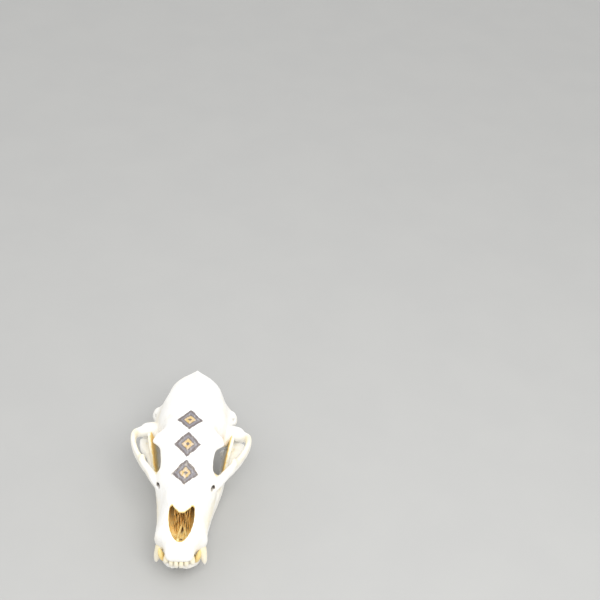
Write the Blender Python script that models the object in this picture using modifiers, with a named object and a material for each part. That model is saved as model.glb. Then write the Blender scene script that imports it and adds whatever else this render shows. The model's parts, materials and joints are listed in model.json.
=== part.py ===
"""Black bear skull with its lower jaw closed, standing on the lower jaw.

The cranium, the lower jaw and each tooth are solids of their own. Lengths are in millimetres
in the skull's own frame: x to the animal's left, y backwards from the front of the upper jaw,
z up from the gum line of the upper cheek teeth. They turn into metres as each shape is made.
"""

import math

import bmesh
import bpy
import numpy as np
from mathutils import Matrix, Vector

MM = 0.001

# driving dimensions, in millimetres
TABLE_Z = -46.2
MIDDLE_Y = 135.15
SOCKET_GAP = 0.4
VOXEL = 2.0
SMOOTH_ROUNDS = 4
CRANIUM_TRIANGLES = 3300
JAW_TRIANGLES = 1500

SIDES = {"left": 1.0, "right": -1.0}

# Half width, length and depth of the block that trims the lower jaw at the table.
BLOCK = (90, 240, 20)

BONE_COLOUR = (0.88, 0.85, 0.76, 1.0)
BONE_ROUGHNESS = 0.6
TOOTH_COLOUR = (0.92, 0.89, 0.80, 1.0)
TOOTH_ROUGHNESS = 0.35

# Half cross-sections of the cranium by distance from the front. The points (x, z) run from the
# dorsal midline over the side and under to the midline of the palate or base.
CRANIUM = {
    # front of the upper jaw
    2: [(0, 11), (3, 11), (5.5, 10.8), (7.5, 10.4), (9, 9.9), (10, 9.3), (10.8, 8.6),
        (11.2, 7.8), (11.2, 7), (10.5, 6), (8, 5.2), (4, 4.8), (0, 4.8)],
    5: [(0, 16), (4, 16.2), (8, 15.8), (11, 14.6), (13, 13), (14.2, 11.2), (15, 9.5),
        (15.4, 7.8), (15.3, 6), (14.5, 4.4), (11.5, 3.4), (6, 3.2), (0, 3.2)],
    9: [(0, 21), (5, 21.3), (9.5, 20.6), (12.8, 18.6), (15.2, 16), (16.6, 13.5), (17.4, 11),
        (17.8, 8.4), (17.7, 5.8), (16.8, 3.4), (13.5, 2), (7, 1.8), (0, 1.8)],
    # notch that the lower canine passes
    16: [(0, 27), (5.5, 27.5), (11, 27), (15, 24.6), (17.5, 21), (19, 17), (19.6, 13),
         (19.6, 9), (19, 5), (17.5, 1), (14, -0.5), (7, 1.5), (0, 2)],
    23: [(0, 32.5), (6.5, 33.2), (12.5, 32.3), (17, 29), (20.5, 24.5), (22.8, 19.5), (24, 14.5),
         (24.3, 10), (24, 5.5), (22.8, 1), (18, -0.5), (9, 2.5), (0, 3)],
    # upper canines
    31: [(0, 37), (7.5, 37.5), (14.5, 35.8), (19, 32.5), (24, 27.5), (28.3, 21.8), (31.5, 15.5),
         (33, 9.5), (32.8, 4), (31.5, -0.5), (18, -0.5), (10, 2.8), (0, 3.5)],
    40: [(0, 43), (8, 43), (15.5, 40.6), (20, 36.6), (24.5, 31), (28.5, 24.5),
         (31.8, 17.5), (33, 11), (32.6, 5), (30.5, 0), (18, -0.5), (10, 3), (0, 4)],
    # tips of the nasal bones
    45: [(0, 50), (5.5, 49.3), (11, 46.2), (16.5, 41.8), (22.5, 35.2), (27.2, 27.8),
         (31, 20), (33, 12.5), (32.6, 6), (30.5, 0.3), (18, -0.5), (10, 3.1), (0, 4.2)],
    50: [(0, 52), (7, 51.6), (12, 49.6), (16.5, 45.8), (21.5, 39), (26, 31),
         (30, 22.5), (32.8, 14), (32.5, 7), (30.5, 0.5), (18, -0.5), (10, 3.2), (0, 4.5)],
    68: [(0, 56), (7, 55.8), (13, 53.8), (18.5, 49.5), (23, 42.5), (26.5, 34.5),
         (30, 26), (33.3, 16.5), (34.3, 8), (34, 0.5), (20, -0.5), (11, 3.8), (0, 5)],
    86: [(0, 60.5), (7.5, 60.2), (14.5, 58), (20.5, 53.5), (25.2, 46.5), (29.2, 38.5),
         (33, 29.5), (36, 18.5), (36.6, 9), (35.8, 0.5), (20, -0.5), (12, 4), (0, 5.5)],
    98: [(0, 65), (8, 64.7), (16, 62.5), (23, 58), (29, 51.5), (33.5, 44.5),
         (37.5, 35), (39.8, 23.5), (39.2, 11), (37, 0.8), (21, -0.5), (12.5, 4.2), (0, 6)],
    # front rims of the eye sockets
    107: [(0, 69.5), (8.5, 69.2), (17, 67.2), (25.5, 63), (32, 56.5), (36.5, 49), (40, 39.5),
          (42, 28.5), (40.5, 14.5), (37, 1.2), (21, -0.5), (13, 4.2), (0, 6)],
    114: [(0, 72.5), (9, 72.2), (18.5, 70.4), (28, 66.2), (33.8, 60.3), (33.2, 52), (36, 42.5),
          (43.5, 31.5), (41, 17), (37, 1.5), (21, -0.5), (13, 4.2), (0, 6)],
    122: [(0, 76.5), (10, 76.2), (21, 74.3), (30.8, 70.3), (35, 64), (29.5, 55), (28, 44.5),
          (36, 32), (41, 19), (37, 2), (21.5, -0.5), (13, 4), (0, 5.5)],
    130: [(0, 80), (11, 80), (23, 78.3), (33.5, 74.6), (37, 69), (29.5, 59), (25.5, 46),
          (27.5, 33), (35, 18), (36, 2.5), (21, 0), (12, 4.2), (0, 5.8)],
    # processes behind the eye sockets
    134: [(0, 81.8), (12, 81.9), (24.5, 79.8), (35.5, 75.8), (40.5, 69.8), (32, 60), (25.5, 47),
          (25.5, 34), (30, 18.5), (30, 3.5), (20, 0.3), (11.5, 4.8), (0, 6.5)],
    138: [(0, 83.5), (13, 83.7), (26, 81.3), (38.5, 76.8), (47, 70.3), (35, 61),
          (26, 48), (24.5, 34), (25, 19), (23, 4.5), (18.5, 1), (11.5, 6), (0, 8)],
    144: [(0, 85.8), (12.5, 85.8), (25.5, 83.2), (37.5, 77.6), (46, 69.8), (34.5, 60.5), (28, 48),
          (25.5, 35), (23.5, 21), (20, 8), (16, 4.5), (11.5, 10), (0, 14.5)],
    150: [(0, 87.3), (12.2, 87), (25, 83.8), (36.5, 77.8), (44.5, 69), (35.5, 59), (31.5, 47),
          (30, 34.5), (26, 21.5), (19.5, 8.5), (15, 5.5), (11.2, 13), (0, 18)],
    160: [(0, 88.7), (12, 88), (22.5, 84.5), (31.5, 77.5), (37, 67), (36, 57), (35.5, 46),
          (34.5, 34), (30, 22), (19, 9.5), (14.5, 7), (11, 14.5), (0, 18.5)],
    # braincase
    175: [(0, 90), (11, 88.6), (21, 84), (30.5, 76), (37, 66), (40.5, 56), (42, 46),
          (42, 36), (39.5, 27), (29, 19.5), (17.5, 16.5), (9, 17.5), (0, 18.5)],
    193: [(0, 90.3), (9, 88.7), (20, 83), (30.5, 74.5), (39, 64), (44, 53),
          (46, 42), (46.5, 32), (44.5, 24.5), (36, 17), (25, 13.5), (12, 15.5), (0, 17)],
    211: [(0, 88.8), (6.5, 86.3), (18, 80.5), (30, 72), (39, 61), (44.5, 50),
          (48, 39), (51, 29), (51, 20.5), (40, 14), (27, 11.5), (13, 14), (0, 15.5)],
    228: [(0, 86), (5, 82.2), (16, 77), (28, 69.5), (37.5, 60), (42.5, 50),
          (46.5, 39.5), (53, 28), (57.5, 16), (46, 9.5), (29, 10.5), (14, 12.5), (0, 13.5)],
    241: [(0, 83), (4.5, 79), (14.5, 74.5), (26, 68.5), (33.8, 60), (38, 50.5),
          (41, 40), (47.5, 29), (54.5, 17), (45, 9.5), (28, 11), (13, 12), (0, 12.5)],
    # nuchal crest over the back of the skull
    251: [(0, 80.5), (4.5, 76.5), (14, 72.5), (25.5, 66.5), (32.3, 58), (35.8, 49),
          (38.2, 40), (40.5, 31), (39, 24), (32, 20), (22, 20.5), (12, 22), (0, 23)],
    259: [(0, 77.5), (3.6, 73.6), (11.5, 70.3), (21, 65.5), (28, 58), (31.8, 51),
          (33.6, 44), (33, 38.5), (28.5, 35.5), (21, 34.5), (14, 35.5), (7, 37), (0, 37.5)],
    266: [(0, 74.8), (3.2, 71.2), (8.5, 68), (15, 64.8), (20.5, 60), (22.5, 56),
          (21.8, 52.5), (19, 50.5), (15.5, 49.5), (12, 49.5), (8, 50), (4, 50.5), (0, 50.5)],
    272: [(0, 72), (2.2, 69.8), (4, 67.8), (5.6, 66), (6.8, 64.2), (7.2, 62.6), (6.8, 61.4),
          (6, 60.6), (5, 60.2), (4, 60), (2.8, 60), (1.4, 60), (0, 60)],
}

# The same for the nasal cavity, which opens at the front above the incisors.
NOSE = {
    16: [(0, 39), (1, 38.6), (2, 38), (2.8, 36.4), (3.2, 33.5),
         (3.1, 31), (2.5, 29.4), (1.3, 28.4), (0, 28.2)],
    21: [(0, 45), (2.5, 44.4), (5, 43), (6.8, 39.5), (7.9, 34),
         (7.7, 29), (6.2, 25.6), (3.6, 23.4), (0, 23)],
    27: [(0, 51), (4.5, 50), (8.4, 47.5), (10.6, 42), (11.9, 34),
         (11.6, 27), (9.8, 21), (5.8, 17.2), (0, 16)],
    33: [(0, 54), (5, 53.4), (9.8, 51), (12.8, 44), (14.2, 34),
         (13.9, 25.5), (11.8, 18), (7.6, 12.8), (0, 11.5)],
    40: [(0, 56), (5.5, 55.5), (10.5, 54), (14, 47.5), (15.6, 36),
         (15.4, 25), (13.6, 17), (9, 12.2), (0, 11)],
    44.5: [(0, 54), (5, 54), (10.5, 53.5), (14.6, 48.5), (16.2, 36),
           (15.6, 25), (13.8, 17), (9, 12.2), (0, 11)],
    # notches on each side of the nasal tips
    46: [(0, 46.4), (3.6, 46.8), (6.4, 53), (14.4, 49.5), (16.3, 36),
         (15.8, 25), (14, 17), (9, 12.2), (0, 11)],
    50: [(0, 47.6), (7.4, 47.2), (10.2, 53.5), (14.2, 51), (16.6, 36),
         (16, 25), (14.2, 17), (9, 12.2), (0, 11)],
    54: [(0, 48.6), (10, 46.4), (12.2, 53), (14.4, 51), (16.9, 36),
         (16.2, 25), (14.4, 17), (9, 12.2), (0, 11.1)],
    57.5: [(0, 49.4), (6, 48.8), (11, 46.4), (14.6, 42), (17, 35),
           (16.4, 25), (14.4, 17), (9, 12.4), (0, 11.4)],
    66: [(0, 51), (5.5, 50.4), (10.5, 47.8), (15, 43), (17.4, 35),
         (17, 25), (14.6, 17), (9, 13), (0, 12)],
    84: [(0, 53), (4.5, 52.2), (9.5, 48.6), (13, 43), (15, 35),
         (14.6, 25), (12.4, 18), (7.6, 14), (0, 13)],
}

# Left cheek arch from the face to the ear: centre, half height, half thickness.
CHEEK_ARCH = [
    ((32, 98, 27), 6, 6), ((41.5, 108, 30.5), 7.5, 6), ((50, 119, 33), 8.5, 5),
    ((59.5, 131, 34.5), 9.5, 4.4), ((68, 143, 36), 9.5, 3.6), ((74, 155, 37), 9, 3.6),
    ((77.2, 167, 36.5), 8.5, 3.8), ((77.6, 179.5, 34.5), 8, 4.2), ((72.5, 187.5, 31), 7.5, 5.5),
    ((62.5, 192.5, 29.5), 7.5, 8), ((50, 197, 28.5), 8, 9),
]
CHEEK_PROCESS = [((61, 131.5, 40), 4.5, 5), ((60.5, 133.5, 45), 3.5, 4), ((60, 135, 48.5), 2, 2.5)]

# Canal through the left cheek in front of the eye socket.
CHEEK_CANAL = [((38, 82, 41), 4, 2.6), ((36, 92, 36.5), 4, 2.6), ((33.5, 108, 31), 3, 2.2)]

# Left half of the lower jaw's body: distance from the front, centre x and z, half width and
# half height.
JAW_BODY = [
    (9, 5, -15.5, 5.2, 2.6), (14, 7.3, -17, 7.4, 4.6), (21, 11.3, -20.2, 9.6, 7.4),
    (31, 14.8, -25.2, 10.4, 11.6), (45, 17.5, -30.2, 9, 15.8), (64, 22, -31, 7.4, 16),
    (86, 25.4, -30.5, 7.4, 16.5), (108, 29.2, -30, 7.6, 17), (128, 35, -29, 7.2, 17.5),
    (146, 41, -27, 5.5, 16.5), (160, 44, -25, 4.5, 14),
]
# Outline (y, z) of the blade that rises behind the teeth. The blade leans out with height, more
# below the gum line than above it. It spreads to the rear, and then turns back in.
JAW_BLADE = [
    (122, -22), (130, -9), (138, 6), (145, 20), (152, 33), (162, 43), (171, 47.5), (178, 45.5),
    (181.5, 37), (183.5, 28), (185.5, 20), (190, 13), (201, 10), (201, 2), (199, -5), (200, -13),
    (205, -18), (202, -26), (193, -34), (183, -42), (172, -47.5), (156, -48), (140, -47.5),
    (124, -40),
]
BLADE_FOOT_X = 48.8
BLADE_MIDDLE_Y = 155
BLADE_TURN_Y = 176
BLADE_LEAN = 0.1
BLADE_FOOT_LEAN = 0.2
BLADE_SPREAD = 0.154
BLADE_TURN = -0.15
BLADE_HALF = 2.6
# Ridge on the blade's outer face that runs back to the joint: centre, half height, thickness.
JAW_RIDGE = [
    ((47.5, 143, 3), 9, 4), ((52.5, 156, 6), 8.5, 4.5), ((57, 167, 8), 8, 5),
    ((63, 179, 9), 8, 8), ((64, 191, 10.5), 7, 9),
]

# Lumps of the cranium and of the lower jaw, and holes of the cranium. Each is an ellipsoid with
# its centre, its radii, and its turns in degrees about x, y and z, and is mirrored on x.
CRANIUM_LUMPS = {
    "joint_root": ((57, 197.5, 28.5), (15, 9, 8), (0, 0, 0)),
    "joint_root_front": ((43, 187.5, 25.5), (9, 13, 9), (0, 0, 0)),
    "joint_lip": ((56, 208.5, 19.5), (13, 4.5, 9), (0, 0, 0)),
    "ear_capsule": ((31, 209, 14), (14, 18, 8), (0, 0, 12)),
    "mastoid": ((51.5, 232, 17.5), (8, 9, 14), (0, -8, 0)),
    "paroccipital": ((41, 246, 14), (6, 7, 11), (-10, 0, 0)),
    "condyle": ((17, 256, 21), (9, 9, 14), (25, -18, 0)),
    "hamulus": ((16.5, 165, 6), (2.4, 9, 4), (20, 0, 0)),
}
CRANIUM_HOLES = {
    "brain_opening": ((1, 250, 26), (12, 42, 10.5), (0, 0, 0)),
    "throat_opening": ((1, 152, 15), (9, 32, 8), (0, 0, 0)),
    "palate_opening": ((4, 19, 4), (2.4, 6, 12), (0, 0, 0)),
    "ear_opening": ((50, 224, 22), (12, 4, 4), (0, 0, 0)),
}
JAW_LUMPS = {
    "chin": ((1, 31.5, -27.5), (12, 14.5, 8), (-40, 0, 0)),
    "joint_head": ((58, 197, 13.5), (14, 4.9, 5), (0, 0, -4)),
    "angle": ((44, 198, -20), (6.5, 10, 5.5), (-20, 0, 10)),
}

# Teeth of the left side: sides of the section, turn in degrees, cusp height, and slices from
# root to tip as (x, y, z, half width across, half length along the row).
TEETH = {
    "upper_incisor_1": (8, 0, 0, [(3.4, 9.4, 13, 1.6, 2), (3.3, 5.4, 5.5, 2.2, 2.9),
                                  (3.2, 3.4, 0.5, 2.75, 3), (3.15, 2.6, -4.8, 2.9, 1.9),
                                  (3.15, 2.4, -7, 2.6, 0.9)]),
    "upper_incisor_2": (8, -12, 0, [(8.6, 11, 13, 1.6, 2), (9.2, 7, 5.3, 2.3, 3),
                                    (9.5, 5.2, 0.3, 2.8, 3.1), (9.5, 4.4, -5.4, 2.9, 2),
                                    (9.4, 4.2, -7.8, 2.5, 0.9)]),
    "upper_incisor_3": (8, -35, 0, [(14, 15, 11, 2, 2.4), (15.6, 12, 3.6, 2.8, 3.6),
                                    (16.5, 10.2, -2, 3.4, 3.8), (16.8, 9.6, -6.6, 3, 2.5),
                                    (16.7, 9.6, -9.6, 1.2, 1)]),
    "upper_canine": (8, -8, 0, [(23, 44, 17, 3.4, 4.8), (25.4, 33, 2, 5.2, 7.6),
                                 (28, 28.2, -8, 5.2, 6.9), (30.2, 24.8, -18, 3.9, 5),
                                 (31, 23.2, -24.6, 2.1, 2.7), (31.2, 23, -27.6, 0.5, 0.6)]),
    "upper_premolar_1": (6, 0, 0, [(25, 45.8, 5, 1.2, 1.4), (25, 45.5, 0, 1.9, 2.4),
                                   (25, 45.3, -3.5, 1.7, 2.1), (25, 45.3, -5, 0.6, 0.7)]),
    "upper_premolar_3": (6, 0, 0, [(25.5, 58, 5, 1.2, 1.5), (25.5, 58, 0, 1.9, 2.7),
                                   (25.5, 58, -3.5, 1.7, 2.3), (25.5, 58, -5, 0.6, 0.8)]),
    "upper_premolar_4": (8, 0, 0, [(27.8, 70, 6, 2.4, 3.6), (28, 70, 0, 3.3, 4.9),
                                    (28.4, 70, -3.5, 3.7, 5.3), (29, 69.5, -6.8, 2.4, 3.6),
                                    (29.2, 69.2, -8, 0.7, 1.3)]),
    "upper_molar_1": (8, 3, 1.5, [(28.4, 84.6, 7, 3.6, 6.2), (28.4, 84.6, 0, 5, 8),
                                   (28.4, 84.6, -3.2, 6, 8.7), (28.6, 84.6, -5, 5, 7.7),
                                   (28.6, 84.6, -4.2, 2, 5.2)]),
    "upper_molar_2": (8, 4, 1.3, [(29.4, 106, 7, 3.8, 8.6), (29.5, 107, 0, 5.4, 11.6),
                                   (29.6, 107.2, -3.2, 6.4, 12.8), (29.8, 107, -5, 5.3, 11.6),
                                   (29.8, 107, -4.2, 2.2, 8.5)]),
    "lower_incisor_1": (8, 0, 0, [(2.5, 15, -22, 1.3, 1.7), (2.6, 11.6, -15, 1.9, 2.7),
                                  (2.7, 10.2, -10, 2.2, 2.6), (2.7, 9.5, -6, 2.3, 1.5),
                                  (2.7, 9.3, -4, 2, 0.8)]),
    "lower_incisor_2": (8, -10, 0, [(7, 16, -22, 1.4, 1.9), (7.4, 12.8, -15, 2, 2.8),
                                    (7.6, 11.4, -10, 2.2, 2.7), (7.7, 10.8, -6, 2.3, 1.6),
                                    (7.7, 10.6, -4, 2, 0.8)]),
    "lower_incisor_3": (8, -25, 0, [(11.3, 18.4, -22, 1.5, 2), (12, 15.8, -15, 2.1, 2.8),
                                    (12.4, 14.6, -10, 2.4, 2.7), (12.5, 13.9, -6.5, 2.4, 1.7),
                                    (12.6, 13.7, -4.5, 1.6, 0.8)]),
    "lower_canine": (8, 12, 0, [(15, 36, -32, 3.2, 4.6), (17.4, 23.6, -18, 3.9, 5.8),
                                 (20.8, 18, -9, 4.2, 5.3), (23.6, 15.9, 1, 3.2, 4.2),
                                 (25.2, 16.2, 8, 1.9, 2.4), (25.6, 16.8, 11.5, 0.5, 0.6)]),
    "lower_premolar_1": (6, 0, 0, [(18, 38, -20, 1, 1.2), (18, 37.6, -14.5, 1.7, 2),
                                   (18, 37.5, -12, 1.5, 1.8), (18, 37.5, -10.5, 0.5, 0.6)]),
    "lower_premolar_4": (8, 4, 0, [(23.4, 67.5, -20, 1.8, 2.6), (23.4, 67.5, -14, 2.5, 3.7),
                                    (23.6, 67.5, -11.5, 2.6, 4), (23.7, 67.5, -8.8, 0.9, 1.4)]),
    "lower_molar_1": (8, 6, 1.4, [(25, 82, -21, 2.4, 6.6), (25.2, 82, -13.5, 3.6, 8.8),
                                   (25.2, 82, -10.5, 4.2, 9.4), (25.2, 82, -9, 3.2, 8.4),
                                   (25.2, 82, -9.6, 1.2, 6)]),
    "lower_molar_2": (8, 8, 1.2, [(27.6, 101, -21, 3, 6.6), (27.8, 101, -13.2, 4.6, 8.4),
                                   (27.8, 101, -10.3, 5.2, 9), (27.8, 101, -8.8, 4.2, 8),
                                   (27.8, 101, -9.4, 1.8, 5.6)]),
    "lower_molar_3": (8, 10, 0.9, [(30.6, 117, -21, 2.8, 4), (30.6, 117, -12.6, 4.3, 5.7),
                                    (30.6, 117, -10, 4.8, 6.2), (30.6, 117, -8.8, 3.8, 5.2),
                                    (30.6, 117, -9.3, 1.6, 3)]),
}


def smooth_path(keys, values, at):
    """Values at the places `at`, on a smooth curve through `values` at `keys`."""
    keys = np.asarray(keys, float)
    values = np.asarray(values, float)
    slopes = np.gradient(values, keys, axis=0)
    span = np.clip(np.searchsorted(keys, at, side="right") - 1, 0, len(keys) - 2)
    width = keys[span + 1] - keys[span]
    t = (at - keys[span]) / width
    tail = (1,) * (values.ndim - 1)
    t, width = t.reshape(-1, *tail), width.reshape(-1, *tail)
    start, end = values[span], values[span + 1]
    leave, arrive = slopes[span] * width, slopes[span + 1] * width
    return (
        start * (2 * t**3 - 3 * t**2 + 1)
        + leave * (t**3 - 2 * t**2 + t)
        + end * (3 * t**2 - 2 * t**3)
        + arrive * (t**3 - t**2)
    )


def placed(point):
    """A point in millimetres of the skull's frame, in metres of the world."""
    x, y, z = point
    return Vector((x, y - MIDDLE_Y, z - TABLE_Z)) * MM


def mesh_object(name, mesh, collection):
    obj = bpy.data.objects.new(name, mesh)
    collection.objects.link(obj)
    return obj


def loft(name, rings, collection):
    """A closed solid through rings of points, all of one length."""
    shape = bmesh.new()
    rows = [[shape.verts.new(placed(p)) for p in ring] for ring in rings]
    count = len(rows[0])
    for low, high in zip(rows, rows[1:]):
        for i in range(count):
            j = (i + 1) % count
            shape.faces.new((low[i], low[j], high[j], high[i]))
    shape.faces.new(rows[0][::-1])
    shape.faces.new(rows[-1])
    bmesh.ops.recalc_face_normals(shape, faces=shape.faces)
    mesh = bpy.data.meshes.new(name)
    shape.to_mesh(mesh)
    shape.free()
    return mesh_object(name, mesh, collection)


def ball(name, centre, radii, collection, turn=(0, 0, 0), segments=20):
    """An ellipsoid, turned by degrees about x, then y, then z."""
    shape = bmesh.new()
    bmesh.ops.create_uvsphere(shape, u_segments=segments, v_segments=segments // 2, radius=1.0)
    about_x = Matrix.Rotation(math.radians(turn[0]), 4, "X")
    about_y = Matrix.Rotation(math.radians(turn[1]), 4, "Y")
    about_z = Matrix.Rotation(math.radians(turn[2]), 4, "Z")
    size = Matrix.Diagonal((*(Vector(radii) * MM), 1.0))
    shape.transform(Matrix.Translation(placed(centre)) @ about_z @ about_y @ about_x @ size)
    mesh = bpy.data.meshes.new(name)
    shape.to_mesh(mesh)
    shape.free()
    return mesh_object(name, mesh, collection)


def half_sections(name, table, collection, samples, per_span=3):
    """A symmetric loft through a table of half cross-sections."""
    keys = np.array(sorted(table), float)
    values = np.array([table[k] for k in sorted(table)], float)
    spans = [np.linspace(a, b, per_span + 1) for a, b in zip(keys, keys[1:])]
    at = np.unique(np.concatenate(spans))
    points = values.shape[1]
    steps = np.linspace(0, points - 1, samples)
    rings = []
    for y, row in zip(at, smooth_path(keys, values, at)):
        half = smooth_path(np.arange(points), row, steps)
        half[0, 0] = half[-1, 0] = 0.0
        whole = np.concatenate([half, (half * (-1, 1))[-2:0:-1]])
        rings.append([(x, y, z) for x, z in whole])
    return loft(name, rings, collection)


def bar(name, stations, collection, sides=16, steps=6, squareness=2.4):
    """A bar along stations of (centre, half height, half thickness).

    The half height stands as near to upright as the path allows.
    """
    keys = np.arange(len(stations))
    at = np.linspace(0, len(stations) - 1, steps * (len(stations) - 1) + 1)
    centres = smooth_path(keys, [s[0] for s in stations], at)
    sizes = smooth_path(keys, [s[1:] for s in stations], at)
    along = np.gradient(centres, axis=0)
    along /= np.linalg.norm(along, axis=1)[:, None]
    across = np.cross(along, (0, 0, 1))
    across /= np.linalg.norm(across, axis=1)[:, None]
    upward = np.cross(across, along)
    angles = np.linspace(0, 2 * math.pi, sides, endpoint=False)
    wide = np.sign(np.cos(angles)) * np.abs(np.cos(angles)) ** (2 / squareness)
    high = np.sign(np.sin(angles)) * np.abs(np.sin(angles)) ** (2 / squareness)
    rings = [
        centre + np.outer(high * h, u) + np.outer(wide * w, a)
        for centre, (h, w), u, a in zip(centres, sizes, upward, across)
    ]
    return loft(name, rings, collection)


def tooth(name, side, sides, turn, cusp, slices, collection, grow=0.0):
    """A tooth as level slices from root to tip, with its rim raised into cusps."""
    angles = np.linspace(0, 2 * math.pi, sides, endpoint=False)
    turned = math.radians(turn) * side
    outward = 1.0 if slices[-1][2] > slices[0][2] else -1.0
    if grow:
        first, last = slices[0], slices[-1]
        deep = (*first[:2], first[2] - outward * grow, *first[3:])
        beyond = (*last[:2], last[2] + outward * grow, *last[3:])
        slices = [deep, *slices[1:-1], beyond]
    rings = []
    for i, (x, y, z, wide, long) in enumerate(slices):
        across = (wide + grow) * np.cos(angles)
        ahead = (long + grow) * np.sin(angles)
        rim = cusp * outward * (np.abs(np.sin(2 * angles)) > 0.5) * (i == len(slices) - 2)
        rings.append(np.stack([
            x * side + across * math.cos(turned) - ahead * math.sin(turned),
            y + across * math.sin(turned) + ahead * math.cos(turned),
            z + rim,
        ], axis=1))
    return loft(name, rings, collection)


def jaw_blade(side, collection):
    """The upright blade of the lower jaw, cut from a leaning plate."""
    rings = []
    for offset in (-BLADE_HALF, BLADE_HALF):
        ring = []
        for y, z in JAW_BLADE:
            lean = (BLADE_LEAN if z > 0 else BLADE_FOOT_LEAN) * z
            spread = BLADE_SPREAD * (min(y, BLADE_TURN_Y) - BLADE_MIDDLE_Y)
            turn = BLADE_TURN * max(y - BLADE_TURN_Y, 0)
            ring.append(((BLADE_FOOT_X + lean + spread + turn + offset) * side, y, z))
        rings.append(ring)
    return loft("jaw_blade", rings, collection)


def evaluated_mesh(obj):
    """The object's mesh with its modifiers worked out, and the modifiers gone."""
    bpy.context.view_layer.update()
    graph = bpy.context.evaluated_depsgraph_get()
    mesh = bpy.data.meshes.new_from_object(obj.evaluated_get(graph))
    old = obj.data
    obj.modifiers.clear()
    obj.data = mesh
    bpy.data.meshes.remove(old)


def joined(name, pieces, collection):
    """One object from many, their shells left as they are."""
    shape = bmesh.new()
    for piece in pieces:
        shape.from_mesh(piece.data)
        bpy.data.objects.remove(piece)
    mesh = bpy.data.meshes.new(name)
    shape.to_mesh(mesh)
    shape.free()
    return mesh_object(name, mesh, collection)


def remeshed(obj, smoothing):
    """The overlapping shells made one skin of small even faces, and smoothed."""
    skin = obj.modifiers.new("skin", "REMESH")
    skin.mode = "VOXEL"
    skin.voxel_size = VOXEL * MM
    if smoothing:
        soft = obj.modifiers.new("soft", "SMOOTH")
        soft.factor = 0.5
        soft.iterations = smoothing
    evaluated_mesh(obj)


def fused(name, pieces, cutters, triangles, collection):
    """A bone from overlapping pieces, with the cutters taken out, at the triangle count."""
    obj = joined(name, pieces, collection)
    remeshed(obj, 0)
    for cutter in cutters:
        cut = obj.modifiers.new(cutter.name, "BOOLEAN")
        cut.operation = "DIFFERENCE"
        cut.solver = "EXACT"
        cut.object = cutter
    evaluated_mesh(obj)
    remeshed(obj, SMOOTH_ROUNDS)
    count = sum(len(face.vertices) - 2 for face in obj.data.polygons)
    thin = obj.modifiers.new("thin", "DECIMATE")
    thin.ratio = triangles / count
    thin.use_collapse_triangulate = True
    evaluated_mesh(obj)
    return obj


def side_bars(tables, side, collection, squareness=2.4):
    """Each of the tables as a bar, on this side."""
    bars = []
    for name, table in tables.items():
        stations = [((x * side, y, z), high, wide) for (x, y, z), high, wide in table]
        bars.append(bar(name, stations, collection, squareness=squareness))
    return bars


def side_balls(table, side, collection):
    """Each row of the table as an ellipsoid, on this side."""
    balls = []
    for name, ((x, y, z), radii, (tip, roll, turn)) in table.items():
        turns = (tip, roll * side, turn * side)
        balls.append(ball(name, (x * side, y, z), radii, collection, turns))
    return balls


def cranium_pieces(collection):
    pieces = [half_sections("body", CRANIUM, collection, samples=29)]
    bars = {"arch": CHEEK_ARCH, "arch_process": CHEEK_PROCESS}
    for side in SIDES.values():
        pieces += side_bars(bars, side, collection)
        pieces += side_balls(CRANIUM_LUMPS, side, collection)
    return pieces


def cranium_cutters(collection):
    cutters = [half_sections("nasal_cavity", NOSE, collection, samples=17)]
    for side in SIDES.values():
        cutters += side_bars({"cheek_opening": CHEEK_CANAL}, side, collection, squareness=2)
        cutters += side_balls(CRANIUM_HOLES, side, collection)
    return cutters


def jaw_pieces(collection):
    pieces = []
    body = [((x, y, z), high, wide) for y, x, z, wide, high in JAW_BODY]
    for side in SIDES.values():
        pieces += side_bars({"jaw_body": body, "ridge": JAW_RIDGE}, side, collection)
        pieces += side_balls(JAW_LUMPS, side, collection)
        pieces.append(jaw_blade(side, collection))
    return pieces


def table_block(collection):
    """A block with its top at the table, which trims the lower jaw to flats to stand on."""
    left, back, under = BLOCK
    corners = [(-left, 0), (left, 0), (left, back), (-left, back)]
    rings = [[(x, y, z) for x, y in corners] for z in (TABLE_Z - under, TABLE_Z)]
    return loft("table_block", rings, collection)


def painted(obj, colour, roughness):
    """Gives the object a plain Principled material of its own."""
    material = bpy.data.materials.new(obj.name)
    material.use_nodes = True
    shader = material.node_tree.nodes["Principled BSDF"]
    shader.inputs["Base Color"].default_value = colour
    shader.inputs["Roughness"].default_value = roughness
    material.diffuse_color = colour
    obj.data.materials.clear()
    obj.data.materials.append(material)


def new_collection(name, parent):
    collection = bpy.data.collections.new(name)
    parent.children.link(collection)
    return collection


def main():
    for obj in list(bpy.data.objects):
        bpy.data.objects.remove(obj)
    top = bpy.context.scene.collection
    parts = new_collection("bear_skull", top)
    shapes = new_collection("cutters", top)
    sockets = {row: new_collection(f"{row}_sockets", shapes) for row in ("upper", "lower")}

    bones = {
        "upper": fused("cranium", cranium_pieces(parts), cranium_cutters(shapes),
                       CRANIUM_TRIANGLES, parts),
        "lower": fused("mandible", jaw_pieces(parts), [], JAW_TRIANGLES, parts),
    }
    for name, (sides, turn, cusp, slices) in TEETH.items():
        row = name.split("_")[0]
        for side_name, side in SIDES.items():
            whole = f"{name}_{side_name}"
            made = tooth(whole, side, sides, turn, cusp, slices, parts)
            painted(made, TOOTH_COLOUR, TOOTH_ROUGHNESS)
            tooth(f"{whole}_socket", side, sides, turn, 0, slices, sockets[row], SOCKET_GAP)
    table_block(sockets["lower"])
    for row, bone in bones.items():
        holes = bone.modifiers.new("sockets", "BOOLEAN")
        holes.operation = "DIFFERENCE"
        holes.solver = "EXACT"
        holes.operand_type = "COLLECTION"
        holes.collection = sockets[row]
        painted(bone, BONE_COLOUR, BONE_ROUGHNESS)
    for cutter in shapes.all_objects:
        cutter.hide_render = True
        cutter.display_type = "WIRE"


main()
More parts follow.
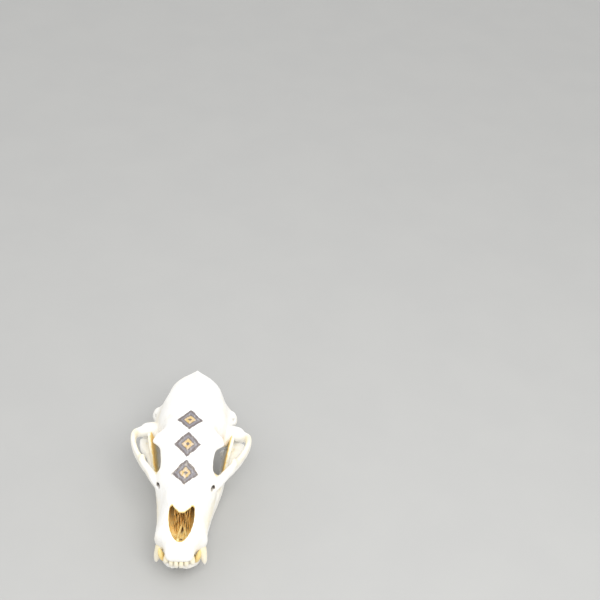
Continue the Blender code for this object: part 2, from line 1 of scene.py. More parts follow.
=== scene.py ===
"""The looks of a bear's skull with its lower jaw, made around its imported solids.

Lengths in the tables are millimetres in the skull's own frame: x to the animal's left, y
backwards from the front of the upper jaw, z up from the gum line of the upper cheek teeth.
They turn into metres as each shape is made.
"""

import json
import math

import bmesh
import bpy
import numpy as np
from bpy.props import FloatProperty, FloatVectorProperty, IntProperty, PointerProperty
from bpy.types import Operator, Panel, PropertyGroup
from mathutils import Matrix, Vector, noise
from mathutils.bvhtree import BVHTree

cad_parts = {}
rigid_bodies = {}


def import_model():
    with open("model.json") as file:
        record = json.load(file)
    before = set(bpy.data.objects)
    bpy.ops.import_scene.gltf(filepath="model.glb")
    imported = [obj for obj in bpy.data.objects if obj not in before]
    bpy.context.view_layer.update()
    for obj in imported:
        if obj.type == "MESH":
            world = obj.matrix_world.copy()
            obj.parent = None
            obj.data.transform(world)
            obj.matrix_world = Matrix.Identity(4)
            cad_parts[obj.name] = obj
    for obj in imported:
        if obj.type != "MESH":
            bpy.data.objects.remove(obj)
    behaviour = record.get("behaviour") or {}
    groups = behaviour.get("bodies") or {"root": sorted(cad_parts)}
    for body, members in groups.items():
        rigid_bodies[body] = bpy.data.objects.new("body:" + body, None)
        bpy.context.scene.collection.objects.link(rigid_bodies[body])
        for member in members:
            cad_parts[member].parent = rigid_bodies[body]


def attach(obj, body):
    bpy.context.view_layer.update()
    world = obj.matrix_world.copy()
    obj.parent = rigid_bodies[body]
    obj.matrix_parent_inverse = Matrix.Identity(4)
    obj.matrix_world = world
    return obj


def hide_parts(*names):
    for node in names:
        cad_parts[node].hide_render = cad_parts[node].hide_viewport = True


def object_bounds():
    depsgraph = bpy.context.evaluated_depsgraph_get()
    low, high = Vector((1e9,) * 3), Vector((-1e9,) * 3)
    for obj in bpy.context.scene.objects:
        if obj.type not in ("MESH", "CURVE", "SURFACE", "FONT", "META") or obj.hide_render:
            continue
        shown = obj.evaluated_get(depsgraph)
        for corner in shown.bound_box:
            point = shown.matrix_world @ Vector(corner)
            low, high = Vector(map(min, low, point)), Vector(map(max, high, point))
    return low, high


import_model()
CAD_LOW, CAD_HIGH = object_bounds()

bl_info = {
    "name": "Bear Skull",
    "version": (1, 0, 0),
    "blender": (4, 5, 0),
    "location": "View3D > Sidebar > Bear Skull",
    "description": "Builds a bleached bear's skull with its lower jaw, teeth and a painted brow",
    "category": "Add Mesh",
}

MM = 0.001
TABLE_Z = -46.2
MIDDLE_Y = 135.15
ORIGIN = np.array((0, MIDDLE_Y, TABLE_Z))
SIDES = {"left": 1.0, "right": -1.0}

# Half cross-sections of the cranium by distance from the front. The points (x, z) run from the
# dorsal midline over the side and under to the midline of the palate or base.
CRANIUM = {
    # front of the upper jaw
    2: [(0, 11), (3, 11), (5.5, 10.8), (7.5, 10.4), (9, 9.9), (10, 9.3), (10.8, 8.6),
        (11.2, 7.8), (11.2, 7), (10.5, 6), (8, 5.2), (4, 4.8), (0, 4.8)],
    5: [(0, 16), (4, 16.2), (8, 15.8), (11, 14.6), (13, 13), (14.2, 11.2), (15, 9.5),
        (15.4, 7.8), (15.3, 6), (14.5, 4.4), (11.5, 3.4), (6, 3.2), (0, 3.2)],
    9: [(0, 21), (5, 21.3), (9.5, 20.6), (12.8, 18.6), (15.2, 16), (16.6, 13.5), (17.4, 11),
        (17.8, 8.4), (17.7, 5.8), (16.8, 3.4), (13.5, 2), (7, 1.8), (0, 1.8)],
    # notch that the lower canine passes
    16: [(0, 27), (5.5, 27.5), (11, 27), (15, 24.6), (17.5, 21), (19, 17), (19.6, 13),
         (19.6, 9), (19, 5), (17.5, 1), (14, -0.5), (7, 1.5), (0, 2)],
    23: [(0, 32.5), (6.5, 33.2), (12.5, 32.3), (17, 29), (20.5, 24.5), (22.8, 19.5), (24, 14.5),
         (24.3, 10), (24, 5.5), (22.8, 1), (18, -0.5), (9, 2.5), (0, 3)],
    # upper canines
    31: [(0, 37), (7.5, 37.5), (14.5, 35.8), (19, 32.5), (24, 27.5), (28.3, 21.8), (31.5, 15.5),
         (33, 9.5), (32.8, 4), (31.5, -0.5), (18, -0.5), (10, 2.8), (0, 3.5)],
    40: [(0, 43), (8, 43), (15.5, 40.6), (20, 36.6), (24.5, 31), (28.5, 24.5),
         (31.8, 17.5), (33, 11), (32.6, 5), (30.5, 0), (18, -0.5), (10, 3), (0, 4)],
    # tips of the nasal bones
    45: [(0, 50), (5.5, 49.3), (11, 46.2), (16.5, 41.8), (22.5, 35.2), (27.2, 27.8),
         (31, 20), (33, 12.5), (32.6, 6), (30.5, 0.3), (18, -0.5), (10, 3.1), (0, 4.2)],
    50: [(0, 52), (7, 51.6), (12, 49.6), (16.5, 45.8), (21.5, 39), (26, 31),
         (30, 22.5), (32.8, 14), (32.5, 7), (30.5, 0.5), (18, -0.5), (10, 3.2), (0, 4.5)],
    68: [(0, 56), (7, 55.8), (13, 53.8), (18.5, 49.5), (23, 42.5), (26.5, 34.5),
         (30, 26), (33.3, 16.5), (34.3, 8), (34, 0.5), (20, -0.5), (11, 3.8), (0, 5)],
    86: [(0, 60.5), (7.5, 60.2), (14.5, 58), (20.5, 53.5), (25.2, 46.5), (29.2, 38.5),
         (33, 29.5), (36, 18.5), (36.6, 9), (35.8, 0.5), (20, -0.5), (12, 4), (0, 5.5)],
    98: [(0, 65), (8, 64.7), (16, 62.5), (23, 58), (29, 51.5), (33.5, 44.5),
         (37.5, 35), (39.8, 23.5), (39.2, 11), (37, 0.8), (21, -0.5), (12.5, 4.2), (0, 6)],
    # front rims of the eye sockets
    107: [(0, 69.5), (8.5, 69.2), (17, 67.2), (25.5, 63), (32, 56.5), (36.5, 49), (40, 39.5),
          (42, 28.5), (40.5, 14.5), (37, 1.2), (21, -0.5), (13, 4.2), (0, 6)],
    114: [(0, 72.5), (9, 72.2), (18.5, 70.4), (28, 66.2), (33.8, 60.3), (33.2, 52), (36, 42.5),
          (43.5, 31.5), (41, 17), (37, 1.5), (21, -0.5), (13, 4.2), (0, 6)],
    122: [(0, 76.5), (10, 76.2), (21, 74.3), (30.8, 70.3), (35, 64), (29.5, 55), (28, 44.5),
          (36, 32), (41, 19), (37, 2), (21.5, -0.5), (13, 4), (0, 5.5)],
    130: [(0, 80), (11, 80), (23, 78.3), (33.5, 74.6), (37, 69), (29.5, 59), (25.5, 46),
          (27.5, 33), (35, 18), (36, 2.5), (21, 0), (12, 4.2), (0, 5.8)],
    # processes behind the eye sockets
    134: [(0, 81.8), (12, 81.9), (24.5, 79.8), (35.5, 75.8), (40.5, 69.8), (32, 60), (25.5, 47),
          (25.5, 34), (30, 18.5), (30, 3.5), (20, 0.3), (11.5, 4.8), (0, 6.5)],
    138: [(0, 83.5), (13, 83.7), (26, 81.3), (38.5, 76.8), (47, 70.3), (35, 61),
          (26, 48), (24.5, 34), (25, 19), (23, 4.5), (18.5, 1), (11.5, 6), (0, 8)],
    144: [(0, 85.8), (12.5, 85.8), (25.5, 83.2), (37.5, 77.6), (46, 69.8), (34.5, 60.5), (28, 48),
          (25.5, 35), (23.5, 21), (20, 8), (16, 4.5), (11.5, 10), (0, 14.5)],
    150: [(0, 87.3), (12.2, 87), (25, 83.8), (36.5, 77.8), (44.5, 69), (35.5, 59), (31.5, 47),
          (30, 34.5), (26, 21.5), (19.5, 8.5), (15, 5.5), (11.2, 13), (0, 18)],
    160: [(0, 88.7), (12, 88), (22.5, 84.5), (31.5, 77.5), (37, 67), (36, 57), (35.5, 46),
          (34.5, 34), (30, 22), (19, 9.5), (14.5, 7), (11, 14.5), (0, 18.5)],
    # braincase
    175: [(0, 90), (11, 88.6), (21, 84), (30.5, 76), (37, 66), (40.5, 56), (42, 46),
          (42, 36), (39.5, 27), (29, 19.5), (17.5, 16.5), (9, 17.5), (0, 18.5)],
    193: [(0, 90.3), (9, 88.7), (20, 83), (30.5, 74.5), (39, 64), (44, 53),
          (46, 42), (46.5, 32), (44.5, 24.5), (36, 17), (25, 13.5), (12, 15.5), (0, 17)],
    211: [(0, 88.8), (6.5, 86.3), (18, 80.5), (30, 72), (39, 61), (44.5, 50),
          (48, 39), (51, 29), (51, 20.5), (40, 14), (27, 11.5), (13, 14), (0, 15.5)],
    228: [(0, 86), (5, 82.2), (16, 77), (28, 69.5), (37.5, 60), (42.5, 50),
          (46.5, 39.5), (53, 28), (57.5, 16), (46, 9.5), (29, 10.5), (14, 12.5), (0, 13.5)],
    241: [(0, 83), (4.5, 79), (14.5, 74.5), (26, 68.5), (33.8, 60), (38, 50.5),
          (41, 40), (47.5, 29), (54.5, 17), (45, 9.5), (28, 11), (13, 12), (0, 12.5)],
    # nuchal crest over the back of the skull
    251: [(0, 80.5), (4.5, 76.5), (14, 72.5), (25.5, 66.5), (32.3, 58), (35.8, 49),
          (38.2, 40), (40.5, 31), (39, 24), (32, 20), (22, 20.5), (12, 22), (0, 23)],
    259: [(0, 77.5), (3.6, 73.6), (11.5, 70.3), (21, 65.5), (28, 58), (31.8, 51),
          (33.6, 44), (33, 38.5), (28.5, 35.5), (21, 34.5), (14, 35.5), (7, 37), (0, 37.5)],
    266: [(0, 74.8), (3.2, 71.2), (8.5, 68), (15, 64.8), (20.5, 60), (22.5, 56),
          (21.8, 52.5), (19, 50.5), (15.5, 49.5), (12, 49.5), (8, 50), (4, 50.5), (0, 50.5)],
    272: [(0, 72), (2.2, 69.8), (4, 67.8), (5.6, 66), (6.8, 64.2), (7.2, 62.6), (6.8, 61.4),
          (6, 60.6), (5, 60.2), (4, 60), (2.8, 60), (1.4, 60), (0, 60)],
}

# The same for the nasal cavity, which opens at the front above the incisors.
NOSE = {
    16: [(0, 39), (1, 38.6), (2, 38), (2.8, 36.4), (3.2, 33.5),
         (3.1, 31), (2.5, 29.4), (1.3, 28.4), (0, 28.2)],
    21: [(0, 45), (2.5, 44.4), (5, 43), (6.8, 39.5), (7.9, 34),
         (7.7, 29), (6.2, 25.6), (3.6, 23.4), (0, 23)],
    27: [(0, 51), (4.5, 50), (8.4, 47.5), (10.6, 42), (11.9, 34),
         (11.6, 27), (9.8, 21), (5.8, 17.2), (0, 16)],
    33: [(0, 54), (5, 53.4), (9.8, 51), (12.8, 44), (14.2, 34),
         (13.9, 25.5), (11.8, 18), (7.6, 12.8), (0, 11.5)],
    40: [(0, 56), (5.5, 55.5), (10.5, 54), (14, 47.5), (15.6, 36),
         (15.4, 25), (13.6, 17), (9, 12.2), (0, 11)],
    44.5: [(0, 54), (5, 54), (10.5, 53.5), (14.6, 48.5), (16.2, 36),
           (15.6, 25), (13.8, 17), (9, 12.2), (0, 11)],
    # notches on each side of the nasal tips
    46: [(0, 46.4), (3.6, 46.8), (6.4, 53), (14.4, 49.5), (16.3, 36),
         (15.8, 25), (14, 17), (9, 12.2), (0, 11)],
    50: [(0, 47.6), (7.4, 47.2), (10.2, 53.5), (14.2, 51), (16.6, 36),
         (16, 25), (14.2, 17), (9, 12.2), (0, 11)],
    54: [(0, 48.6), (10, 46.4), (12.2, 53), (14.4, 51), (16.9, 36),
         (16.2, 25), (14.4, 17), (9, 12.2), (0, 11.1)],
    57.5: [(0, 49.4), (6, 48.8), (11, 46.4), (14.6, 42), (17, 35),
           (16.4, 25), (14.4, 17), (9, 12.4), (0, 11.4)],
    66: [(0, 51), (5.5, 50.4), (10.5, 47.8), (15, 43), (17.4, 35),
         (17, 25), (14.6, 17), (9, 13), (0, 12)],
    84: [(0, 53), (4.5, 52.2), (9.5, 48.6), (13, 43), (15, 35),
         (14.6, 25), (12.4, 18), (7.6, 14), (0, 13)],
}

# Left cheek arch from the face to the ear: centre, half height, half thickness.
CHEEK_ARCH = [
    ((32, 98, 27), 6, 6), ((41.5, 108, 30.5), 7.5, 6), ((50, 119, 33), 8.5, 5),
    ((59.5, 131, 34.5), 9.5, 4.4), ((68, 143, 36), 9.5, 3.6), ((74, 155, 37), 9, 3.6),
    ((77.2, 167, 36.5), 8.5, 3.8), ((77.6, 179.5, 34.5), 8, 4.2), ((72.5, 187.5, 31), 7.5, 5.5),
    ((62.5, 192.5, 29.5), 7.5, 8), ((50, 197, 28.5), 8, 9),
]
CHEEK_PROCESS = [((61, 131.5, 40), 4.5, 5), ((60.5, 133.5, 45), 3.5, 4), ((60, 135, 48.5), 2, 2.5)]

# Canal through the left cheek in front of the eye socket.
CHEEK_CANAL = [((38, 82, 41), 4, 2.6), ((36, 92, 36.5), 4, 2.6), ((33.5, 108, 31), 3, 2.2)]

# Left half of the lower jaw's body: distance from the front, centre x and z, half width and
# half height.
JAW_BODY = [
    (9, 5, -15.5, 5.2, 2.6), (14, 7.3, -17, 7.4, 4.6), (21, 11.3, -20.2, 9.6, 7.4),
    (31, 14.8, -25.2, 10.4, 11.6), (45, 17.5, -30.2, 9, 15.8), (64, 22, -31, 7.4, 16),
    (86, 25.4, -30.5, 7.4, 16.5), (108, 29.2, -30, 7.6, 17), (128, 35, -29, 7.2, 17.5),
    (146, 41, -27, 5.5, 16.5), (160, 44, -25, 4.5, 14),
]
# Outline (y, z) of the blade that rises behind the teeth. The blade leans out with height, more
# below the gum line than above it. It spreads to the rear, and then turns back in.
JAW_BLADE = [
    (122, -22), (130, -9), (138, 6), (145, 20), (152, 33), (162, 43), (171, 47.5), (178, 45.5),
    (181.5, 37), (183.5, 28), (185.5, 20), (190, 13), (201, 10), (201, 2), (199, -5), (200, -13),
    (205, -18), (202, -26), (193, -34), (183, -42), (172, -47.5), (156, -48), (140, -47.5),
    (124, -40),
]
BLADE_FOOT_X = 48.8
BLADE_MIDDLE_Y = 155
BLADE_TURN_Y = 176
BLADE_LEAN = 0.1
BLADE_FOOT_LEAN = 0.2
BLADE_SPREAD = 0.154
BLADE_TURN = -0.15
BLADE_HALF = 2.6
# Ridge on the blade's outer face that runs back to the joint: centre, half height, thickness.
JAW_RIDGE = [
    ((47.5, 143, 3), 9, 4), ((52.5, 156, 6), 8.5, 4.5), ((57, 167, 8), 8, 5),
    ((63, 179, 9), 8, 8), ((64, 191, 10.5), 7, 9),
]

# Lumps of the cranium and of the lower jaw, and holes of the cranium. Each is an ellipsoid with
# its centre, its radii, and its turns in degrees about x, y and z, and is mirrored on x.
CRANIUM_LUMPS = {
    "joint_root": ((57, 197.5, 28.5), (15, 9, 8), (0, 0, 0)),
    "joint_root_front": ((43, 187.5, 25.5), (9, 13, 9), (0, 0, 0)),
    "joint_lip": ((56, 208.5, 19.5), (13, 4.5, 9), (0, 0, 0)),
    "ear_capsule": ((31, 209, 14), (14, 18, 8), (0, 0, 12)),
    "mastoid": ((51.5, 232, 17.5), (8, 9, 14), (0, -8, 0)),
    "paroccipital": ((41, 246, 14), (6, 7, 11), (-10, 0, 0)),
    "condyle": ((17, 256, 21), (9, 9, 14), (25, -18, 0)),
    "hamulus": ((16.5, 165, 6), (2.4, 9, 4), (20, 0, 0)),
}
CRANIUM_HOLES = {
    "brain_opening": ((1, 250, 26), (12, 42, 10.5), (0, 0, 0)),
    "throat_opening": ((1, 152, 15), (9, 32, 8), (0, 0, 0)),
    "palate_opening": ((4, 19, 4), (2.4, 6, 12), (0, 0, 0)),
    "ear_opening": ((50, 224, 22), (12, 4, 4), (0, 0, 0)),
}
JAW_LUMPS = {
    "chin": ((1, 31.5, -27.5), (12, 14.5, 8), (-40, 0, 0)),
    "joint_head": ((58, 197, 13.5), (14, 4.9, 5), (0, 0, -4)),
    "angle": ((44, 198, -20), (6.5, 10, 5.5), (-20, 0, 10)),
}

# Teeth of the left side: turn in degrees, cusp height, and slices from root to tip as
# (x, y, z, half width across, half length along the row).
TEETH = {
    "upper_incisor_1": (0, 0, [
        (3.4, 9.4, 13, 1.6, 2), (3.3, 5.4, 5.5, 2.2, 2.9), (3.2, 3.4, 0.5, 2.75, 3),
        (3.15, 2.6, -4.8, 2.9, 1.9), (3.15, 2.4, -7, 2.6, 0.9)]),
    "upper_incisor_2": (-12, 0, [
        (8.6, 11, 13, 1.6, 2), (9.2, 7, 5.3, 2.3, 3), (9.5, 5.2, 0.3, 2.8, 3.1),
        (9.5, 4.4, -5.4, 2.9, 2), (9.4, 4.2, -7.8, 2.5, 0.9)]),
    "upper_incisor_3": (-35, 0, [
        (14, 15, 11, 2, 2.4), (15.6, 12, 3.6, 2.8, 3.6), (16.5, 10.2, -2, 3.4, 3.8),
        (16.8, 9.6, -6.6, 3, 2.5), (16.7, 9.6, -9.6, 1.2, 1)]),
    "upper_canine": (-8, 0, [
        (23, 44, 17, 3.4, 4.8), (25.4, 33, 2, 5.2, 7.6), (28, 28.2, -8, 5.2, 6.9),
        (30.2, 24.8, -18, 3.9, 5), (31, 23.2, -24.6, 2.1, 2.7), (31.2, 23, -27.6, 0.5, 0.6)]),
    "upper_premolar_1": (0, 0, [
        (25, 45.8, 5, 1.2, 1.4), (25, 45.5, 0, 1.9, 2.4), (25, 45.3, -3.5, 1.7, 2.1),
        (25, 45.3, -5, 0.6, 0.7)]),
    "upper_premolar_3": (0, 0, [
        (25.5, 58, 5, 1.2, 1.5), (25.5, 58, 0, 1.9, 2.7), (25.5, 58, -3.5, 1.7, 2.3),
        (25.5, 58, -5, 0.6, 0.8)]),
    "upper_premolar_4": (0, 0, [
        (27.8, 70, 6, 2.4, 3.6), (28, 70, 0, 3.3, 4.9), (28.4, 70, -3.5, 3.7, 5.3),
        (29, 69.5, -6.8, 2.4, 3.6), (29.2, 69.2, -8, 0.7, 1.3)]),
    "upper_molar_1": (3, 1.5, [
        (28.4, 84.6, 7, 3.6, 6.2), (28.4, 84.6, 0, 5, 8), (28.4, 84.6, -3.2, 6, 8.7),
        (28.6, 84.6, -5, 5, 7.7), (28.6, 84.6, -4.2, 2, 5.2)]),
    "upper_molar_2": (4, 1.3, [
        (29.4, 106, 7, 3.8, 8.6), (29.5, 107, 0, 5.4, 11.6), (29.6, 107.2, -3.2, 6.4, 12.8),
        (29.8, 107, -5, 5.3, 11.6), (29.8, 107, -4.2, 2.2, 8.5)]),
    "lower_incisor_1": (0, 0, [
        (2.5, 15, -22, 1.3, 1.7), (2.6, 11.6, -15, 1.9, 2.7), (2.7, 10.2, -10, 2.2, 2.6),
        (2.7, 9.5, -6, 2.3, 1.5), (2.7, 9.3, -4, 2, 0.8)]),
    "lower_incisor_2": (-10, 0, [
        (7, 16, -22, 1.4, 1.9), (7.4, 12.8, -15, 2, 2.8), (7.6, 11.4, -10, 2.2, 2.7),
        (7.7, 10.8, -6, 2.3, 1.6), (7.7, 10.6, -4, 2, 0.8)]),
    "lower_incisor_3": (-25, 0, [
        (11.3, 18.4, -22, 1.5, 2), (12, 15.8, -15, 2.1, 2.8), (12.4, 14.6, -10, 2.4, 2.7),
        (12.5, 13.9, -6.5, 2.4, 1.7), (12.6, 13.7, -4.5, 1.6, 0.8)]),
    "lower_canine": (12, 0, [
        (15, 36, -32, 3.2, 4.6), (17.4, 23.6, -18, 3.9, 5.8), (20.8, 18, -9, 4.2, 5.3),
        (23.6, 15.9, 1, 3.2, 4.2), (25.2, 16.2, 8, 1.9, 2.4), (25.6, 16.8, 11.5, 0.5, 0.6)]),
    "lower_premolar_1": (0, 0, [
        (18, 38, -20, 1, 1.2), (18, 37.6, -14.5, 1.7, 2), (18, 37.5, -12, 1.5, 1.8),
        (18, 37.5, -10.5, 0.5, 0.6)]),
    "lower_premolar_4": (4, 0, [
        (23.4, 67.5, -20, 1.8, 2.6), (23.4, 67.5, -14, 2.5, 3.7), (23.6, 67.5, -11.5, 2.6, 4),
        (23.7, 67.5, -8.8, 0.9, 1.4)]),
    "lower_molar_1": (6, 1.4, [
        (25, 82, -21, 2.4, 6.6), (25.2, 82, -13.5, 3.6, 8.8), (25.2, 82, -10.5, 4.2, 9.4),
        (25.2, 82, -9, 3.2, 8.4), (25.2, 82, -9.6, 1.2, 6)]),
    "lower_molar_2": (8, 1.2, [
        (27.6, 101, -21, 3, 6.6), (27.8, 101, -13.2, 4.6, 8.4), (27.8, 101, -10.3, 5.2, 9),
        (27.8, 101, -8.8, 4.2, 8), (27.8, 101, -9.4, 1.8, 5.6)]),
    "lower_molar_3": (10, 0.9, [
        (30.6, 117, -21, 2.8, 4), (30.6, 117, -12.6, 4.3, 5.7), (30.6, 117, -10, 4.8, 6.2),
        (30.6, 117, -8.8, 3.8, 5.2), (30.6, 117, -9.3, 1.6, 3)]),
}

# Width of the gap round each tooth in its socket.
SOCKET_GAP = 0.4

# Sutures of the left side and of the middle, as points on the bone.
SUTURES = [
    [(0, 47, 51), (0, 70, 56), (0, 92, 62), (0, 108, 69)],
    [(0, 108, 69), (6, 106, 68), (11, 100, 64), (16, 97, 62), (20, 90, 57), (18, 76, 52),
     (15.5, 60, 48)],
    [(16, 97, 62), (23, 104, 60), (31, 107, 56)],
    [(17, 56, 44), (21, 45, 36), (24, 34, 27), (23, 26, 18), (20, 20, 9)],
    [(0, 182, 90), (14, 184, 86), (28, 180, 77), (36, 176, 66), (40, 172, 52)],
    [(48, 117, 40), (52, 119, 33), (53, 121, 26)],
    [(66, 178, 40), (73, 168, 33), (76, 158, 30)],
]

# Cusps of a grinding tooth, as shares of its half width and half length.
CUSPS = [(0.55, 0.62), (0.62, -0.05), (0.5, -0.66), (-0.55, 0.5), (-0.6, -0.12), (-0.5, -0.7)]

# Plates in the nose, each some steps to the side of the middle.
SCROLL_STEPS = (0, 1, 2, 3, 4)
SCROLL_STEP = 2.3
SCROLL_HALF = 0.42
# Their front edge at the foot, how much further back it lies for each millimetre up and to the
# side, how much more for the middle plate, and how far it waves.
SCROLL_FRONT = 37
SCROLL_RAKE = 0.5
SCROLL_SIDE_RAKE = 0.35
SCROLL_SET_BACK = 16
SCROLL_WAVE = 2.2
# Their back edge, how far they sway and ripple to the side, and the heights of foot and top.
SCROLL_BACK = 82
SCROLL_SWAY = 0.8
SCROLL_RIPPLE = 0.35
SCROLL_LOW, SCROLL_HIGH = 11, 45
# Two ridges on the floor of the nose, as stations of a bar, and the line between them where the
# shadow of a slit is painted dark.
NOSE_RIDGES = [
    [((-0.2, 57, 13), 2, 1.3), ((-2.2, 44, 13), 2.4, 1.5), ((-3.6, 31, 16.5), 2.6, 1.6),
     ((-2.8, 21, 24), 2.2, 1.5)],
    [((0.8, 57, 13), 2, 1.3), ((3.4, 46, 13), 2.4, 1.4), ((6, 37, 14.5), 2.2, 1.4),
     ((7, 29, 18.5), 1.8, 1.2)],
]
NOSE_SLIT_SHADOW = [(0.3, 49, 11), (0.6, 27, 15.5)]

# Where the left side is tinted, as points on the bone: orange in the eye sockets, partly yellowed
# bone and partly painted shade; warm straw on the cheek process, arches and face; orange painted
# shade on the blades' inner faces, with warm straw on the blades.
ORBIT_TINT_AND_SHADE = [(31, 112, 38), (29, 124, 34), (29, 138, 32)]
ORBIT_INNER_X = 21
PROCESS_WARMTH = [(58, 133, 36), (61, 134, 44)]
ARCH_WARMTH = [(76, 178, 40), (71, 160, 42), (62, 140, 40)]
FACE_WARMTH = [(30, 60, 12), (38, 92, 8)]
BLADE_TINT_AND_SHADE = [(48, 130, 5), (53, 150, 25), (58, 172, 40)]
# How far from the nose's wall its orange tint, partly yellowed bone and partly painted shade, ends
# and over what depth it fades, where the cavity ends, and where its painted shade starts to
# darken.
# The paint lies above PAINT_LOW_Z.
WALL_REACH, WALL_FADE = 1.2, 0.7
CAVITY_END_Y = 86
CAVITY_DARK_Y = 78
PAINT_LOW_Z = 36
# Rounds of mixing with the neighbours that tell a hollow from its surroundings, and how dark the
# painted shade of a hollow a millimetre deep is.
HOLLOW_ROUNDS = 12
HOLLOW_SHADE = 0.8

# The painted ornament: how many lozenges, the middle of their column, and a lozenge's half width
# and half length.
LOZENGES = 3
LOZENGE_Y = 130
LOZENGE_HALF = (19, 17)

# The floor's width in metres, the colour of its clouds, and the lamp's width and place in metres.
FLOOR_WIDTH = 6.0
FLOOR_CLOUD = (0.38, 0.38, 0.38, 1)
LAMP_WIDTH = 1.2
LAMP_PLACE = (0.35, -0.75, 1.5)

# The point of the brow that the camera is aimed by, and where it falls in the picture.
BROW = (0, 135, 30)
BROW_PIXEL = (188.5, 465.5)
PICTURE = 600


def smooth_path(keys, values, at):
    """Values at the places `at`, on a smooth curve through `values` at `keys`."""
    keys = np.asarray(keys, float)
    values = np.asarray(values, float)
    slopes = np.gradient(values, keys, axis=0)
    span = np.clip(np.searchsorted(keys, at, side="right") - 1, 0, len(keys) - 2)
    width = keys[span + 1] - keys[span]
    t = (at - keys[span]) / width
    tail = (1,) * (values.ndim - 1)
    t, width = t.reshape(-1, *tail), width.reshape(-1, *tail)
    start, end = values[span], values[span + 1]
    leave, arrive = slopes[span] * width, slopes[span + 1] * width
    return (
        start * (2 * t**3 - 3 * t**2 + 1)
        + leave * (t**3 - 2 * t**2 + t)
        + end * (3 * t**2 - 2 * t**3)
        + arrive * (t**3 - t**2)
    )


def loft(rings):
    """Points and faces of a closed solid through rings of points, all of one length."""
    rings = np.asarray(rings, float)
    rows, count = rings.shape[:2]
    index = np.arange(rows * count).reshape(rows, count)
    after = np.roll(index, -1, axis=1)
    quads = np.stack([index[:-1], after[:-1], after[1:], index[1:]], axis=-1)
    caps = [index[0][::-1].tolist(), index[-1].tolist()]
    return rings.reshape(-1, 3), quads.reshape(-1, 4).tolist() + caps


def half_sections(table, samples, per_span):
    """A symmetric loft through a table of half cross-sections."""
    keys = np.array(sorted(table), float)
    values = np.array([table[k] for k in sorted(table)], float)
    spans = [np.linspace(a, b, per_span + 1) for a, b in zip(keys, keys[1:])]
    at = np.unique(np.concatenate(spans))
    points = values.shape[1]
    steps = np.linspace(0, points - 1, samples)
    rings = []
    for y, row in zip(at, smooth_path(keys, values, at)):
        half = smooth_path(np.arange(points), row, steps)
        half[0, 0] = half[-1, 0] = 0.0
        whole = np.concatenate([half, (half * (-1, 1))[-2:0:-1]])
        rings.append(np.insert(whole, 1, y, axis=1))
    return loft(rings)


def bar(stations, side, sides=24, steps=8, squareness=2.4):
    """A bar along stations of (centre, half height, half thickness).

    The half height stands as near to upright as the path allows.
    """
    keys = np.arange(len(stations))
    at = np.linspace(0, len(stations) - 1, steps * (len(stations) - 1) + 1)
    centres = smooth_path(keys, [s[0] for s in stations], at) * (side, 1, 1)
    sizes = smooth_path(keys, [s[1:] for s in stations], at)
    along = np.gradient(centres, axis=0)
    along /= np.linalg.norm(along, axis=1)[:, None]
    across = np.cross(along, (0, 0, 1))
    across /= np.linalg.norm(across, axis=1)[:, None]
    upward = np.cross(across, along)
    angles = np.linspace(0, 2 * math.pi, sides, endpoint=False)
    wide = np.sign(np.cos(angles)) * np.abs(np.cos(angles)) ** (2 / squareness)
    high = np.sign(np.sin(angles)) * np.abs(np.sin(angles)) ** (2 / squareness)
    return loft([
        centre + np.outer(high * h, u) + np.outer(wide * w, a)
        for centre, (h, w), u, a in zip(centres, sizes, upward, across)
    ])


def ball(centre, radii, turn, side, segments=32):
    """An ellipsoid, turned by degrees about x, then y, then z."""
    heights = np.linspace(-84, 84, segments // 2 + 1) * math.pi / 180
    angles = np.linspace(0, 2 * math.pi, segments, endpoint=False)
    rings = np.array([
        np.stack([np.cos(angles) * math.cos(h), np.sin(angles) * math.cos(h),
                  np.full(segments, math.sin(h))], axis=1)
        for h in heights
    ])
    x, y, z = (math.radians(t) for t in turn)
    spin = Matrix.Rotation(z, 3, "Z") @ Matrix.Rotation(y, 3, "Y") @ Matrix.Rotation(x, 3, "X")
    return loft(((rings * radii) @ np.array(spin).T + centre) * (side, 1, 1))


def jaw_blade(side):
    """The upright blade of the lower jaw, cut from a leaning plate."""
    y, z = np.array(JAW_BLADE, float).T
    lean = np.where(z > 0, BLADE_LEAN, BLADE_FOOT_LEAN) * z
    spread = BLADE_SPREAD * (np.minimum(y, BLADE_TURN_Y) - BLADE_MIDDLE_Y)
    turn = BLADE_TURN * np.maximum(y - BLADE_TURN_Y, 0)
    middle = BLADE_FOOT_X + lean + spread + turn
    return loft([
        np.stack([(middle + offset) * side, y, z], axis=1)
        for offset in (-BLADE_HALF, BLADE_HALF)
    ])


def nose_plate(step, side):
    """One thin upright plate of the nose's scrolls, this many steps from the middle."""
    rings = []
    for z in np.linspace(SCROLL_LOW, SCROLL_HIGH, 12):
        across = SCROLL_STEP * step + SCROLL_SWAY * math.sin(0.24 * z + step)
        start = SCROLL_FRONT + SCROLL_RAKE * (z - SCROLL_LOW)
        start += SCROLL_SIDE_RAKE * SCROLL_STEP * step
        start += SCROLL_SET_BACK * max(0, 1 - step / 2)
        start += SCROLL_WAVE * math.sin(0.5 * z + 1.7 * step + side)
        y = np.linspace(start, SCROLL_BACK, 14)
        x = across + SCROLL_RIPPLE * np.sin(0.45 * y + 2.1 * step + 0.2 * z)
        half = SCROLL_HALF * np.clip((y - start) / 3 + 0.35, 0, 1)
        ring = np.concatenate([
            np.stack([x + half, y], axis=1), np.stack([x - half, y], axis=1)[::-1]])
        rings.append(np.insert(ring * (side, 1), 2, z, axis=1))
    return loft(rings)


